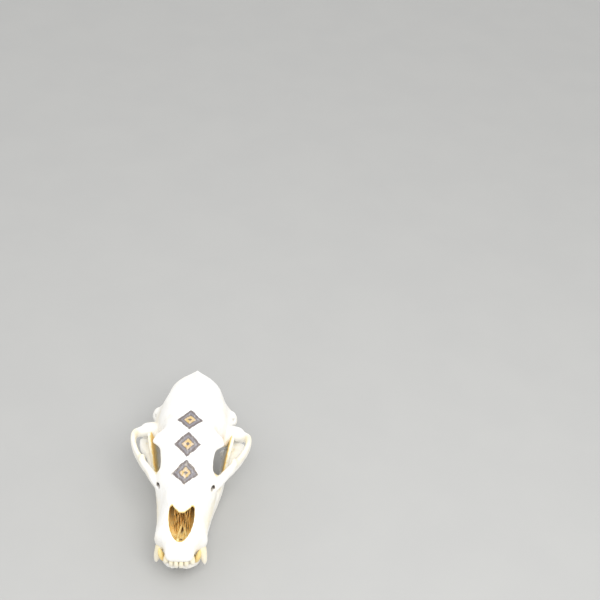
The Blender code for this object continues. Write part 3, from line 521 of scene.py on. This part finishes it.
def solid(name, shapes, collection=None):
    """One object from closed shapes, with the faces of each turned outwards."""
    points, faces, count = [], [], 0
    for shape_points, shape_faces in shapes:
        points.append(shape_points)
        faces += [[i + count for i in face] for face in shape_faces]
        count += len(shape_points)
    mesh = bpy.data.meshes.new(name)
    mesh.from_pydata((np.concatenate(points) - ORIGIN) * MM, [], faces)
    turned = bmesh.new()
    turned.from_mesh(mesh)
    bmesh.ops.recalc_face_normals(turned, faces=turned.faces)
    turned.to_mesh(mesh)
    turned.free()
    obj = bpy.data.objects.new(name, mesh)
    (collection or bpy.context.scene.collection).objects.link(obj)
    return obj


def applied(obj):
    """Replaces the object's mesh by what its modifiers make of it."""
    bpy.context.view_layer.update()
    graph = bpy.context.evaluated_depsgraph_get()
    mesh = bpy.data.meshes.new_from_object(obj.evaluated_get(graph))
    obj.modifiers.clear()
    obj.data = mesh


def remeshed(obj, voxel, rounds):
    """The shells made one skin of even faces a voxel wide, smoothed for some rounds."""
    skin = obj.modifiers.new("skin", "REMESH")
    skin.mode = "VOXEL"
    skin.voxel_size = voxel
    soft = obj.modifiers.new("soft", "SMOOTH")
    soft.factor = 0.5
    soft.iterations = rounds
    applied(obj)


def carved(obj, shapes):
    """Takes the shapes out of the object."""
    tools = bpy.data.collections.new("carving tools")
    bpy.context.scene.collection.children.link(tools)
    for shape in shapes:
        solid("tool", [shape], tools)
    cut = obj.modifiers.new("cut", "BOOLEAN")
    cut.operand_type = "COLLECTION"
    cut.collection = tools
    cut.operation = "DIFFERENCE"
    applied(obj)
    for tool in list(tools.objects):
        bpy.data.objects.remove(tool)
    bpy.data.collections.remove(tools)


def read_points(mesh):
    """The mesh's points in millimetres of the skull's frame, and its normals."""
    points = np.empty(len(mesh.vertices) * 3, np.float32)
    normals = np.empty(len(mesh.vertices) * 3, np.float32)
    mesh.vertices.foreach_get("co", points)
    mesh.vertices.foreach_get("normal", normals)
    return points.reshape(-1, 3) / MM + ORIGIN, normals.reshape(-1, 3).astype(float)


def write_points(mesh, points):
    """Sets the mesh's points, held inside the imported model's box."""
    inside = np.clip((points - ORIGIN) * MM, np.array(CAD_LOW), np.array(CAD_HIGH))
    mesh.vertices.foreach_set("co", inside.astype(np.float32).ravel())
    mesh.update()


def rumple(points, size, octaves=3):
    """Smooth noise from -1 to 1 with lumps of that size in millimetres."""
    return np.array([noise.fractal(p / size, 1.0, 2.0, octaves) for p in points])


def to_path(points, path):
    """Distance of each point to a line through the path's points."""
    near = np.full(len(points), np.inf)
    for start, end in zip(path, path[1:]):
        start, along = np.array(start, float), np.subtract(end, start).astype(float)
        share = np.clip((points - start) @ along / (along @ along), 0, 1)
        near = np.minimum(near, np.linalg.norm(points - start - share[:, None] * along, axis=1))
    return near


def averaged(mesh, values, rounds):
    """The values at the mesh's points, mixed with their neighbours' for some rounds."""
    ends = np.empty(len(mesh.edges) * 2, np.int32)
    mesh.edges.foreach_get("vertices", ends)
    a, b = ends.reshape(-1, 2).T
    count = len(mesh.vertices)
    links = np.bincount(a, minlength=count) + np.bincount(b, minlength=count)
    for _ in range(rounds):
        for column in values.T:
            total = np.bincount(a, column[b], count) + np.bincount(b, column[a], count)
            column[:] = 0.5 * column + 0.5 * total / np.maximum(links, 1)
    return values


def hollows(mesh, points, normals, rounds):
    """How far each point lies below its surroundings, in millimetres."""
    level = averaged(mesh, points.copy(), rounds)
    return ((level - points) * normals).sum(axis=1)


def write_mask(mesh, name, values):
    """Stores numbers from 0 to 1 at the mesh's points, for the materials."""
    layer = mesh.attributes.new(name, "FLOAT", "POINT")
    layer.data.foreach_set("value", np.clip(values, 0, 1).astype(np.float32))


def cranium_shapes():
    shapes = [half_sections(CRANIUM, samples=49, per_span=6)]
    for side in SIDES.values():
        shapes += [bar(CHEEK_ARCH, side), bar(CHEEK_PROCESS, side)]
        shapes += [ball(*lump, side) for lump in CRANIUM_LUMPS.values()]
    return shapes


def nose_cavity():
    return half_sections(NOSE, samples=33, per_span=4)


def cranium_cuts():
    cuts = [nose_cavity()]
    for side in SIDES.values():
        cuts += [ball(*hole, side) for hole in CRANIUM_HOLES.values()]
        cuts.append(bar(CHEEK_CANAL, side, squareness=2))
    return cuts


def jaw_shapes():
    body = [((x, y, z), high, wide) for y, x, z, wide, high in JAW_BODY]
    shapes = []
    for side in SIDES.values():
        shapes += [bar(body, side), jaw_blade(side), bar(JAW_RIDGE, side)]
        shapes += [ball(*lump, side) for lump in JAW_LUMPS.values()]
    return shapes


def tooth(side, name, sides=40, rows_per_span=7, grow=0.0):
    """A tooth's closed surface, and how far along from root to tip each point lies."""
    turn, cusps, slices = TEETH[name]
    values = np.array(slices, float)
    outward = math.copysign(1, values[-1, 2] - values[0, 2])
    count = len(slices)
    at = np.linspace(0, count - 1, rows_per_span * (count - 1) + 1)
    rows = smooth_path(np.arange(count), values, at)
    if not grow:
        closing = np.outer((0.72, 0.42, 0.12), (0, 0, 0, *rows[-1, 3:]))
        rows = np.concatenate([rows, closing + (*rows[-1, :3], 0, 0)])
        at = np.concatenate([at, at[-1:] + (0.1, 0.2, 0.3)])
    angles = np.linspace(0, 2 * math.pi, sides, endpoint=False)
    turned = math.radians(turn) * side
    fullest = values[:, 3:].max(axis=0)
    rings = []
    for share, (x, y, z, wide, long) in zip(at / at[-1], rows):
        across = (max(wide, 0.1) + grow) * np.cos(angles)
        ahead = (max(long, 0.1) + grow) * np.sin(angles)
        rise = np.zeros(sides)
        if cusps and not grow:
            crown = min(1, max(0, (share - 0.55) / 0.2))
            outer, inner = across / fullest[0], ahead / fullest[1]
            for place in CUSPS:
                apart = ((outer - place[0]) / 0.34) ** 2 + ((inner - place[1]) / 0.2) ** 2
                rise += 1.5 * cusps * crown * np.exp(-apart)
            rise += 0.18 * crown * np.sin(9 * outer + 2 * inner) * np.sin(13 * inner)
        rings.append(np.stack([
            x * side + across * math.cos(turned) - ahead * math.sin(turned),
            y + across * math.sin(turned) + ahead * math.cos(turned),
            z + outward * rise,
        ], axis=1))
    return loft(rings), np.repeat(at / at[-1], sides)


def sockets(row):
    return [
        tooth(side, name, sides=16, rows_per_span=1, grow=SOCKET_GAP)[0]
        for name in TEETH if name.startswith(row) for side in SIDES.values()
    ]


class Paint:
    """A material made of nodes, with short calls for the kinds of node it needs."""

    def __init__(self, name):
        self.material = bpy.data.materials.new(name)
        self.material.use_nodes = True
        self.tree = self.material.node_tree
        self.shader = self.tree.nodes["Principled BSDF"]
        self.place = self.node("TexCoord").outputs["Object"]

    def node(self, kind, **settings):
        made = self.tree.nodes.new(f"ShaderNode{kind}")
        for key, value in settings.items():
            setattr(made, key, value)
        return made

    def feed(self, socket, value):
        if isinstance(value, bpy.types.NodeSocket):
            self.tree.links.new(value, socket)
        else:
            socket.default_value = value

    def math(self, operation, *values):
        made = self.node("Math", operation=operation)
        for socket, value in zip(made.inputs, values):
            self.feed(socket, value)
        return made.outputs[0]

    def times(self, *values):
        return self.math("MULTIPLY", *values)

    def mix(self, share, low, high):
        made = self.node("Mix", data_type="RGBA")
        for name, value in (("Factor_Float", share), ("A_Color", low), ("B_Color", high)):
            self.feed(next(s for s in made.inputs if s.identifier == name), value)
        return next(s for s in made.outputs if s.identifier == "Result_Color")

    def span(self, value, low, high, out_low=0.0, out_high=1.0):
        made = self.node("MapRange", interpolation_type="SMOOTHSTEP")
        for socket, number in zip(made.inputs, (value, low, high, out_low, out_high)):
            self.feed(socket, number)
        return made.outputs[0]

    def noise(self, scale, detail=4.0, rough=0.55, stretch=None):
        place = self.place
        if stretch:
            moved = self.node("Mapping")
            self.feed(moved.inputs["Vector"], place)
            moved.inputs["Scale"].default_value = stretch
            place = moved.outputs[0]
        made = self.node("TexNoise")
        self.feed(made.inputs["Vector"], place)
        self.feed(made.inputs["Scale"], scale)
        self.feed(made.inputs["Detail"], detail)
        self.feed(made.inputs["Roughness"], rough)
        return made.outputs["Fac"]

    def cells(self, scale):
        made = self.node("TexVoronoi")
        self.feed(made.inputs["Vector"], self.place)
        self.feed(made.inputs["Scale"], scale)
        return made.outputs["Distance"]

    def mask(self, name):
        return self.node("Attribute", attribute_name=name).outputs["Fac"]

    def bump(self, height, distance):
        made = self.node("Bump")
        self.feed(made.inputs["Height"], height)
        self.feed(made.inputs["Distance"], distance)
        made.inputs["Strength"].default_value = 1.0
        return made.outputs[0]

    def finish(self, colour, roughness, normal):
        self.feed(self.shader.inputs["Base Color"], colour)
        self.feed(self.shader.inputs["Roughness"], roughness)
        self.feed(self.shader.inputs["Normal"], normal)
        return self.material


def ornament(paint, colour, shades, x, y):
    """The colour with a column of three equal painted lozenges down the middle."""
    brush = paint.math("SUBTRACT", paint.noise(150, 4, 0.6), 0.5)
    streaks = paint.math("SUBTRACT", paint.noise(420, 4, 0.6, stretch=(1.0, 0.3, 1.0)), 0.5)
    side = paint.math("ABSOLUTE", x)
    wide, long = (half * MM for half in LOZENGE_HALF)
    away = paint.math("ABSOLUTE", paint.math("SUBTRACT", y, (LOZENGE_Y - ORIGIN[1]) * MM))
    off = paint.math("PINGPONG", away, long)
    reach = paint.math("ADD", paint.math("DIVIDE", side, wide), paint.math("DIVIDE", off, long))
    reach = paint.math("MULTIPLY_ADD", brush, 0.35, reach)
    ring = paint.math("PINGPONG", paint.math("MULTIPLY_ADD", streaks, 0.10, reach), 0.2)
    banded = paint.mix(paint.span(ring, 0.05, 0.15), shades.charcoal, shades.slate)
    gold = paint.mix(paint.span(streaks, -0.12, 0.12), shades.tan, shades.gold)
    inner = paint.mix(paint.span(reach, 0.36, 0.44), gold, banded)
    inner = paint.mix(paint.span(reach, 0.1, 0.16), shades.charcoal, inner)
    half_column = LOZENGES * long
    cover = paint.times(paint.span(reach, 0.98, 0.86),
                        paint.span(away, half_column, half_column - MM))
    worn = paint.span(streaks, -0.25, 0.0, 0.7, 0.97)
    return paint.mix(paint.times(cover, worn), colour, inner)


def bone_material(name, shades, painted):
    """Bleached bone with warm patches, pores and hairlines, its hollows orange as partly yellowed
    bone and partly painted shade, and darkened by painted shade.
    """
    paint = Paint(name)
    x, y, _ = paint.node("SeparateXYZ").outputs
    paint.feed(x.node.inputs[0], paint.place)
    cloudy = paint.noise(28, 5, 0.6)
    mottled = paint.noise(260, 4, 0.6)
    fibres = paint.noise(420, 5, 0.65, stretch=(1.0, 0.16, 0.6))
    colour = paint.mix(paint.span(cloudy, 0.45, 0.75), shades.bone, shades.cream)
    colour = paint.mix(paint.span(mottled, 0.5, 0.8, 0, 0.3), colour, shades.cream)
    colour = paint.mix(paint.span(fibres, 0.52, 0.8, 0, 0.25), colour, shades.worn_tone_and_painted_shade)
    warm = paint.times(paint.mask("warm"), paint.span(mottled, 0.25, 0.65, 0.55, 1.0))
    colour = paint.mix(warm, colour, shades.straw)
    if painted:
        decorated = ornament(paint, colour, shades, x, y)
        colour = paint.mix(paint.mask("painted"), colour, decorated)
    # Painted shade: the hollows are darkened the deeper they lie.
    painted_hollow_shade = paint.times(paint.mask("hollow"), paint.span(mottled, 0.25, 0.7, 0.4, 1.0))
    colour = paint.mix(paint.times(painted_hollow_shade, 0.6), colour, shades.worn_tone_and_painted_shade)
    seams = paint.times(paint.mask("seam"), paint.span(fibres, 0.3, 0.6, 0.3, 1.0))
    colour = paint.mix(paint.times(seams, 0.55), colour, shades.worn_tone_and_painted_shade)
    # Orange tint: in the nose and eye sockets partly yellowed bone and partly painted shade, on
    # the jaw's inner faces painted shade.
    tint_and_painted_shade = paint.math("MULTIPLY_ADD", paint.math("SUBTRACT", mottled, 0.5), 0.9,
                       paint.mask("tint_and_painted_shade"))
    colour = paint.mix(paint.span(tint_and_painted_shade, 0.1, 0.5), colour, shades.straw)
    colour = paint.mix(paint.span(tint_and_painted_shade, 0.4, 0.75), colour, shades.amber)
    colour = paint.mix(paint.span(tint_and_painted_shade, 0.7, 1.1), colour, shades.orange)
    # Painted shade in near-black brown, deep in the nose and in holes.
    painted_depth_shade = paint.math("MULTIPLY_ADD", paint.math("SUBTRACT", mottled, 0.5), 0.6,
                      paint.mask("painted_depth_shade"))
    colour = paint.mix(paint.span(painted_depth_shade, 0.15, 0.8), colour, shades.painted_hole_shade)
    pores = paint.cells(620)
    pitted = paint.times(paint.span(pores, 0.32, 0.05), paint.span(cloudy, 0.5, 0.68))
    colour = paint.mix(paint.times(pitted, 0.3), colour, shades.worn_tone_and_painted_shade)
    height = paint.math("MULTIPLY_ADD", fibres, 0.5, paint.times(mottled, 0.6))
    height = paint.math("SUBTRACT", height, paint.times(pitted, 0.7))
    rough = paint.span(mottled, 0.3, 0.7, 0.5, 0.68)
    return paint.finish(colour, rough, paint.bump(height, 0.00035))


def scroll_material(name, shades):
    """Thin amber bone of the nose, paler on the two ridges of its floor, with painted shade in
    brown further in.
    """
    paint = Paint(name)
    mottled = paint.noise(330, 4, 0.6)
    fibres = paint.noise(500, 4, 0.6, stretch=(1.0, 1.0, 0.2))
    colour = paint.mix(paint.span(mottled, 0.3, 0.5), shades.orange, shades.amber)
    colour = paint.mix(paint.span(fibres, 0.42, 0.7, 0, 0.8), colour, shades.straw)
    # Painted shade in brown further back in the nose.
    colour = paint.mix(paint.mask("painted_depth_shade"), colour, shades.painted_hole_shade)
    colour = paint.mix(paint.mask("warm"), colour, shades.straw)
    height = paint.math("ADD", mottled, fibres)
    return paint.finish(colour, paint.span(mottled, 0.3, 0.7, 0.45, 0.6),
                        paint.bump(height, 0.0003))


def enamel_material(name, shades):
    """Ivory enamel, yellower towards the root, with fine upright lines."""
    paint = Paint(name)
    cloudy = paint.noise(90, 4, 0.6)
    lines = paint.noise(500, 5, 0.65, stretch=(1.0, 1.0, 0.12))
    colour = paint.mix(paint.span(cloudy, 0.4, 0.7), shades.enamel, shades.cream)
    root = paint.times(paint.mask("root"), paint.span(lines, 0.2, 0.6, 0.6, 1.0))
    colour = paint.mix(root, colour, shades.straw)
    tint_and_painted_shade = paint.math("MULTIPLY_ADD", paint.math("SUBTRACT", cloudy, 0.5), 0.5,
                       paint.mask("tint_and_painted_shade"))
    colour = paint.mix(paint.span(tint_and_painted_shade, 0.15, 0.6), colour, shades.straw)
    colour = paint.mix(paint.span(tint_and_painted_shade, 0.5, 1.0), colour, shades.amber)
    colour = paint.mix(paint.span(lines, 0.56, 0.75, 0, 0.35), colour, shades.worn_tone_and_painted_shade)
    return paint.finish(colour, paint.span(cloudy, 0.3, 0.7, 0.24, 0.4),
                        paint.bump(lines, 0.0002))


class BearSkullShape(PropertyGroup):
    voxel: FloatProperty(
        name="Grain of the surface", description="Width of the small faces of the bones",
        default=0.00135, min=0.0008, max=0.004, unit="LENGTH", precision=5)
    rounds: IntProperty(
        name="Smoothing", description="Rounds of smoothing over the bones",
        default=7, min=0, max=40)
    relief: FloatProperty(
        name="Relief", description="Height of the lumps on the bones",
        default=0.0003, min=0.0, max=0.002, unit="LENGTH", precision=5)


def shade(name, description, colour):
    return FloatVectorProperty(name=name, description=description, default=(*colour, 1.0),
                               size=4, min=0.0, max=1.0, subtype="COLOR")


class BearSkullShades(PropertyGroup):
    bone: shade("Bleached bone", "Colour of the clean bone", (0.91, 0.90, 0.87))
    cream: shade("Cream", "Colour of the warmer clouds in the bone", (0.89, 0.84, 0.73))
    # Also the colour of the painted shade in the hollows.
    worn_tone_and_painted_shade: shade("Bone shade", "Colour of worn and hollow places", (0.62, 0.54, 0.40))
    straw: shade("Straw", "Colour of the lightly yellowed bone", (0.88, 0.74, 0.36))
    amber: shade("Amber", "Colour of the yellowed bone", (0.93, 0.63, 0.20))
    orange: shade("Orange", "Colour of the stained hollows", (0.80, 0.40, 0.09))
    # Colour of the painted shade in the deepest holes.
    painted_hole_shade: shade("Brown", "Colour of the deepest holes", (0.08, 0.035, 0.015))
    enamel: shade("Enamel", "Colour of the teeth", (0.88, 0.85, 0.77))
    charcoal: shade("Charcoal paint", "Dark paint of the ornament", (0.13, 0.105, 0.10))
    tan: shade("Tan paint", "Light paint of the ornament", (0.60, 0.47, 0.33))
    gold: shade("Gold paint", "Yellow paint of the ornament", (0.62, 0.42, 0.12))
    slate: shade("Slate paint", "Blue grey paint of the ornament", (0.21, 0.195, 0.215))
    floor: shade("Floor", "Colour of the floor", (0.44, 0.44, 0.43))


class BearSkullStage(PropertyGroup):
    elevation: FloatProperty(
        name="Camera height", description="Angle of the camera above the floor",
        default=math.radians(51.1), subtype="ANGLE")
    turn: FloatProperty(
        name="Camera turn", description="Angle of the camera to the skull's left",
        default=math.radians(6.1), subtype="ANGLE")
    roll: FloatProperty(
        name="Camera roll", description="Lean of the camera",
        default=math.radians(-0.8), subtype="ANGLE")
    distance: FloatProperty(
        name="Camera distance", description="From the camera to the brow",
        default=1.3, unit="LENGTH")
    scale: FloatProperty(
        name="Scale in the picture", description="Pixels of the picture to a metre at the brow",
        default=751.0)
    light: FloatProperty(
        name="Main light", description="Strength of the main light", default=16.0,
        unit="POWER")
    sky: FloatProperty(
        name="Soft light", description="Strength of the light from all round", default=1.05)


def dressed(obj, nodes, material):
    """Gives the piece its finish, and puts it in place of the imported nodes, if it has any."""
    obj.data.materials.clear()
    obj.data.materials.append(material)
    obj.data.shade_smooth()
    obj.data.set_sharp_from_angle(angle=math.radians(50))
    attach(obj, "root")
    if nodes:
        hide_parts(*nodes)


def near_any(points, path, radius):
    return np.exp(-((to_path(points, path) / radius) ** 2))


def folded(points):
    """The points of both sides laid over the left side."""
    left = points.copy()
    left[:, 0] = np.abs(left[:, 0])
    return left


def seams_near(left):
    """How near each point lies to a suture that wavers a little."""
    wavy = left + 0.9 * np.stack([np.sin(left[:, 1] * 1.9), np.sin(left[:, 0] * 1.7),
                                  left[:, 0] * 0], axis=1)
    return np.max([near_any(wavy, path, 0.75) for path in SUTURES], axis=0)


def put_relief(bone, relief):
    """Low lumps and fine grain on the bone, and shallow furrows along the sutures."""
    points, normals = read_points(bone.data)
    lumps = rumple(points, 9.0) + 0.45 * rumple(points, 2.6, 2)
    lumps -= 1.3 * seams_near(folded(points))
    write_points(bone.data, points + normals * (lumps * relief / MM)[:, None])


class BEARSKULL_OT_cranium(Operator):
    """Build the cranium: the upper skull with its sockets and cheek arches"""
    bl_idname = "bear_skull.cranium"
    bl_label = "Cranium"

    def execute(self, context):
        shape, shades = context.scene.bear_skull_shape, context.scene.bear_skull_shades
        bone = solid("skull_upper", cranium_shapes())
        remeshed(bone, shape.voxel, 0)
        carved(bone, cranium_cuts())
        remeshed(bone, shape.voxel, shape.rounds)
        put_relief(bone, shape.relief)
        carved(bone, sockets("upper"))
        points, normals = read_points(bone.data)
        left = folded(points)
        # Painted shade in the hollows.
        low = hollows(bone.data, points, normals, HOLLOW_ROUNDS)
        write_mask(bone.data, "hollow", low * HOLLOW_SHADE)
        write_mask(bone.data, "seam", seams_near(left))
        wall, wall_faces = nose_cavity()
        cavity = BVHTree.FromPolygons(wall.tolist(), wall_faces)
        away = np.array([cavity.find_nearest(p)[3] for p in points.tolist()])
        # The nose's walls and the eye sockets are tinted orange, partly yellowed bone and partly
        # painted shade.
        inner = np.clip((WALL_REACH - away) / WALL_FADE, 0, 1) * (left[:, 1] < CAVITY_END_Y)
        orbit = near_any(left, ORBIT_TINT_AND_SHADE, 8) * (left[:, 0] > ORBIT_INNER_X)
        write_mask(bone.data, "tint_and_painted_shade", np.maximum(inner * 0.55, orbit * 1.1))
        # Painted shade in brown: further back in the nose, in the cheek canals and along the
        # nose's slit.
        canal = near_any(left, [centre for centre, *_ in CHEEK_CANAL[1:]], 3.4)
        painted_depth_shade = np.maximum(inner * np.clip((left[:, 1] - CAVITY_DARK_Y) / 16, 0, 0.5), canal)
        painted_depth_shade += near_any(points, NOSE_SLIT_SHADOW, 2.2)
        write_mask(bone.data, "painted_depth_shade", painted_depth_shade)
        warm = near_any(left, ARCH_WARMTH, 7) * 0.55
        warm += near_any(left, FACE_WARMTH, 12) * 0.4 + near_any(left, PROCESS_WARMTH, 5) * 0.5
        write_mask(bone.data, "warm", warm)
        upward = np.clip(normals[:, 2] * 4 - 0.4, 0, 1)
        top = upward * (points[:, 2] > PAINT_LOW_Z) * (1 - inner)
        write_mask(bone.data, "painted", top)
        dressed(bone, ["cranium"], bone_material("bleached_bone", shades, True))
        return {"FINISHED"}


class BEARSKULL_OT_lower_jaw(Operator):
    """Build the lower jaw with its blades and joint heads"""
    bl_idname = "bear_skull.lower_jaw"
    bl_label = "Lower Jaw"

    def execute(self, context):
        shape, shades = context.scene.bear_skull_shape, context.scene.bear_skull_shades
        bone = solid("skull_lower_jaw", jaw_shapes())
        remeshed(bone, shape.voxel, shape.rounds)
        put_relief(bone, shape.relief)
        carved(bone, sockets("lower"))
        points, normals = read_points(bone.data)
        left = folded(points)
        inward = np.clip(-normals[:, 0] * np.sign(points[:, 0]) + 0.2, 0, 1)
        # Painted shade in the hollows.
        low = hollows(bone.data, points, normals, HOLLOW_ROUNDS)
        write_mask(bone.data, "hollow", low * HOLLOW_SHADE)
        # Orange on the inward faces of the blades is painted shade.
        blade = near_any(left, BLADE_TINT_AND_SHADE, 26)
        write_mask(bone.data, "tint_and_painted_shade", blade * inward * 0.85)
        for unused in ("seam", "painted_depth_shade"):
            write_mask(bone.data, unused, np.zeros(len(points)))
        write_mask(bone.data, "warm", blade * 0.3)
        dressed(bone, ["mandible"], bone_material("jaw_bone", shades, False))
        return {"FINISHED"}


class BEARSKULL_OT_nose_scrolls(Operator):
    """Build the thin plates and the two low ridges inside the nose"""
    bl_idname = "bear_skull.nose_scrolls"
    bl_label = "Nose Scrolls"

    def execute(self, context):
        shades = context.scene.bear_skull_shades
        shapes = [nose_plate(step, side) for side in SIDES.values() for step in SCROLL_STEPS]
        ridges = [bar(stations, 1.0) for stations in NOSE_RIDGES]
        piece = solid("nose_scrolls", shapes + ridges)
        points = read_points(piece.data)[0]
        ridge = np.zeros(len(points))
        ridge[-sum(len(ridge_points) for ridge_points, _ in ridges):] = 1
        # Painted shade, darker further back into the nose.
        painted_depth_shade = np.clip((points[:, 1] - 58 - 0.4 * (points[:, 2] - 12)) / 26, 0, 0.4) * (1 - ridge)
        write_mask(piece.data, "painted_depth_shade", painted_depth_shade)
        write_mask(piece.data, "warm", ridge * 0.9)
        dressed(piece, [], scroll_material("nose_bone", shades))
        return {"FINISHED"}


class BEARSKULL_OT_teeth(Operator):
    """Build the teeth, each in its own socket"""
    bl_idname = "bear_skull.teeth"
    bl_label = "Teeth"

    def execute(self, context):
        shades = context.scene.bear_skull_shades
        enamel = enamel_material("enamel", shades)
        for name in TEETH:
            for side_name, side in SIDES.items():
                surface, share = tooth(side, name)
                piece = solid(f"tooth_{name}_{side_name}", [surface])
                write_mask(piece.data, "root", np.clip(0.75 - share, 0, 1))
                tint = 0.75 if name == "lower_canine" else 0.1
                write_mask(piece.data, "tint_and_painted_shade", np.full(len(share), tint))
                write_points(piece.data, read_points(piece.data)[0])
                dressed(piece, [f"{name}_{side_name}"], enamel)
        return {"FINISHED"}


class BEARSKULL_OT_stage(Operator):
    """Make the floor, the soft light and the camera"""
    bl_idname = "bear_skull.stage"
    bl_label = "Floor, Light and Camera"

    def execute(self, context):
        stage, shades = context.scene.bear_skull_stage, context.scene.bear_skull_shades
        bpy.ops.mesh.primitive_plane_add(size=FLOOR_WIDTH, location=(0, 0, 0))
        floor = context.object
        floor.name = "floor"
        paint = Paint("floor")
        clouds = paint.span(paint.noise(9), 0.3, 0.7, 0, 0.15)
        colour = paint.mix(clouds, shades.floor, FLOOR_CLOUD)
        grain = paint.bump(paint.noise(900), 0.0001)
        floor.data.materials.append(paint.finish(colour, 0.9, grain))
        world = bpy.data.worlds.new("soft light")
        context.scene.world = world
        world.use_nodes = True
        glow = world.node_tree.nodes["Background"].inputs
        glow["Color"].default_value = (1, 1, 1, 1)
        glow["Strength"].default_value = stage.sky
        lamp = bpy.data.lights.new("main light", "AREA")
        lamp.energy = stage.light
        lamp.size = LAMP_WIDTH
        main = bpy.data.objects.new("main light", lamp)
        context.scene.collection.objects.link(main)
        main.location = LAMP_PLACE
        main.rotation_euler = (-main.location).to_track_quat("-Z", "Y").to_euler()
        self.make_camera(context, stage)
        context.scene.view_settings.view_transform = "Standard"
        return {"FINISHED"}

    def make_camera(self, context, stage):
        """The camera stands so that the brow falls on BROW_PIXEL of the picture."""
        se, ce = math.sin(stage.elevation), math.cos(stage.elevation)
        sy, cy = math.sin(stage.turn), math.cos(stage.turn)
        back = Vector((sy * ce, -cy * ce, se))
        right = Vector((cy, sy, 0))
        up = back.cross(right)
        c, s = math.cos(stage.roll), math.sin(stage.roll)
        right, up = c * right + s * up, c * up - s * right
        focal = stage.scale * stage.distance
        u = (BROW_PIXEL[0] - PICTURE / 2) / focal
        v = (PICTURE / 2 - BROW_PIXEL[1]) / focal
        ray = Vector((u, v, -1)).normalized()
        ray_x = Vector((0, 1, 0)).cross(-ray).normalized()
        ray_y = (-ray).cross(ray_x)
        seen = Matrix((right, up, back)).transposed() @ Matrix((ray_x, ray_y, -ray))
        place = Vector((Vector(BROW) - Vector(ORIGIN)) * MM)
        place += back * stage.distance * math.sqrt(1 + u * u + v * v)
        data = bpy.data.cameras.new("camera")
        data.sensor_width = 36.0
        data.lens = focal * data.sensor_width / PICTURE
        data.clip_start, data.clip_end = 0.05, 20.0
        camera = bpy.data.objects.new("camera", data)
        camera.matrix_world = Matrix.Translation(place) @ seen.to_4x4()
        context.scene.collection.objects.link(camera)
        context.scene.camera = camera


class BEARSKULL_PT_panel(Panel):
    """Lists the pieces of the skull"""
    bl_label = "Bear Skull"
    bl_idname = "BEARSKULL_PT_panel"
    bl_space_type = "VIEW_3D"
    bl_region_type = "UI"
    bl_category = "Bear Skull"

    def draw(self, context):
        for group in ("shape", "shades", "stage"):
            box = self.layout.box()
            settings = getattr(context.scene, f"bear_skull_{group}")
            for name in settings.__annotations__:
                box.prop(settings, name)
        for operator in OPERATORS:
            self.layout.operator(operator.bl_idname)


OPERATORS = (
    BEARSKULL_OT_stage,
    BEARSKULL_OT_cranium,
    BEARSKULL_OT_lower_jaw,
    BEARSKULL_OT_nose_scrolls,
    BEARSKULL_OT_teeth,
)
GROUPS = {"shape": BearSkullShape, "shades": BearSkullShades, "stage": BearSkullStage}


def register():
    for cls in (*GROUPS.values(), *OPERATORS, BEARSKULL_PT_panel):
        bpy.utils.register_class(cls)
    for name, cls in GROUPS.items():
        setattr(bpy.types.Scene, f"bear_skull_{name}", PointerProperty(type=cls))


def unregister():
    for name in GROUPS:
        delattr(bpy.types.Scene, f"bear_skull_{name}")
    for cls in (BEARSKULL_PT_panel, *reversed(OPERATORS), *GROUPS.values()):
        bpy.utils.unregister_class(cls)


def main():
    register()
    bpy.ops.bear_skull.stage()
    bpy.ops.bear_skull.cranium()
    bpy.ops.bear_skull.lower_jaw()
    bpy.ops.bear_skull.nose_scrolls()
    bpy.ops.bear_skull.teeth()
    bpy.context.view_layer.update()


if __name__ == "__main__":
    main()
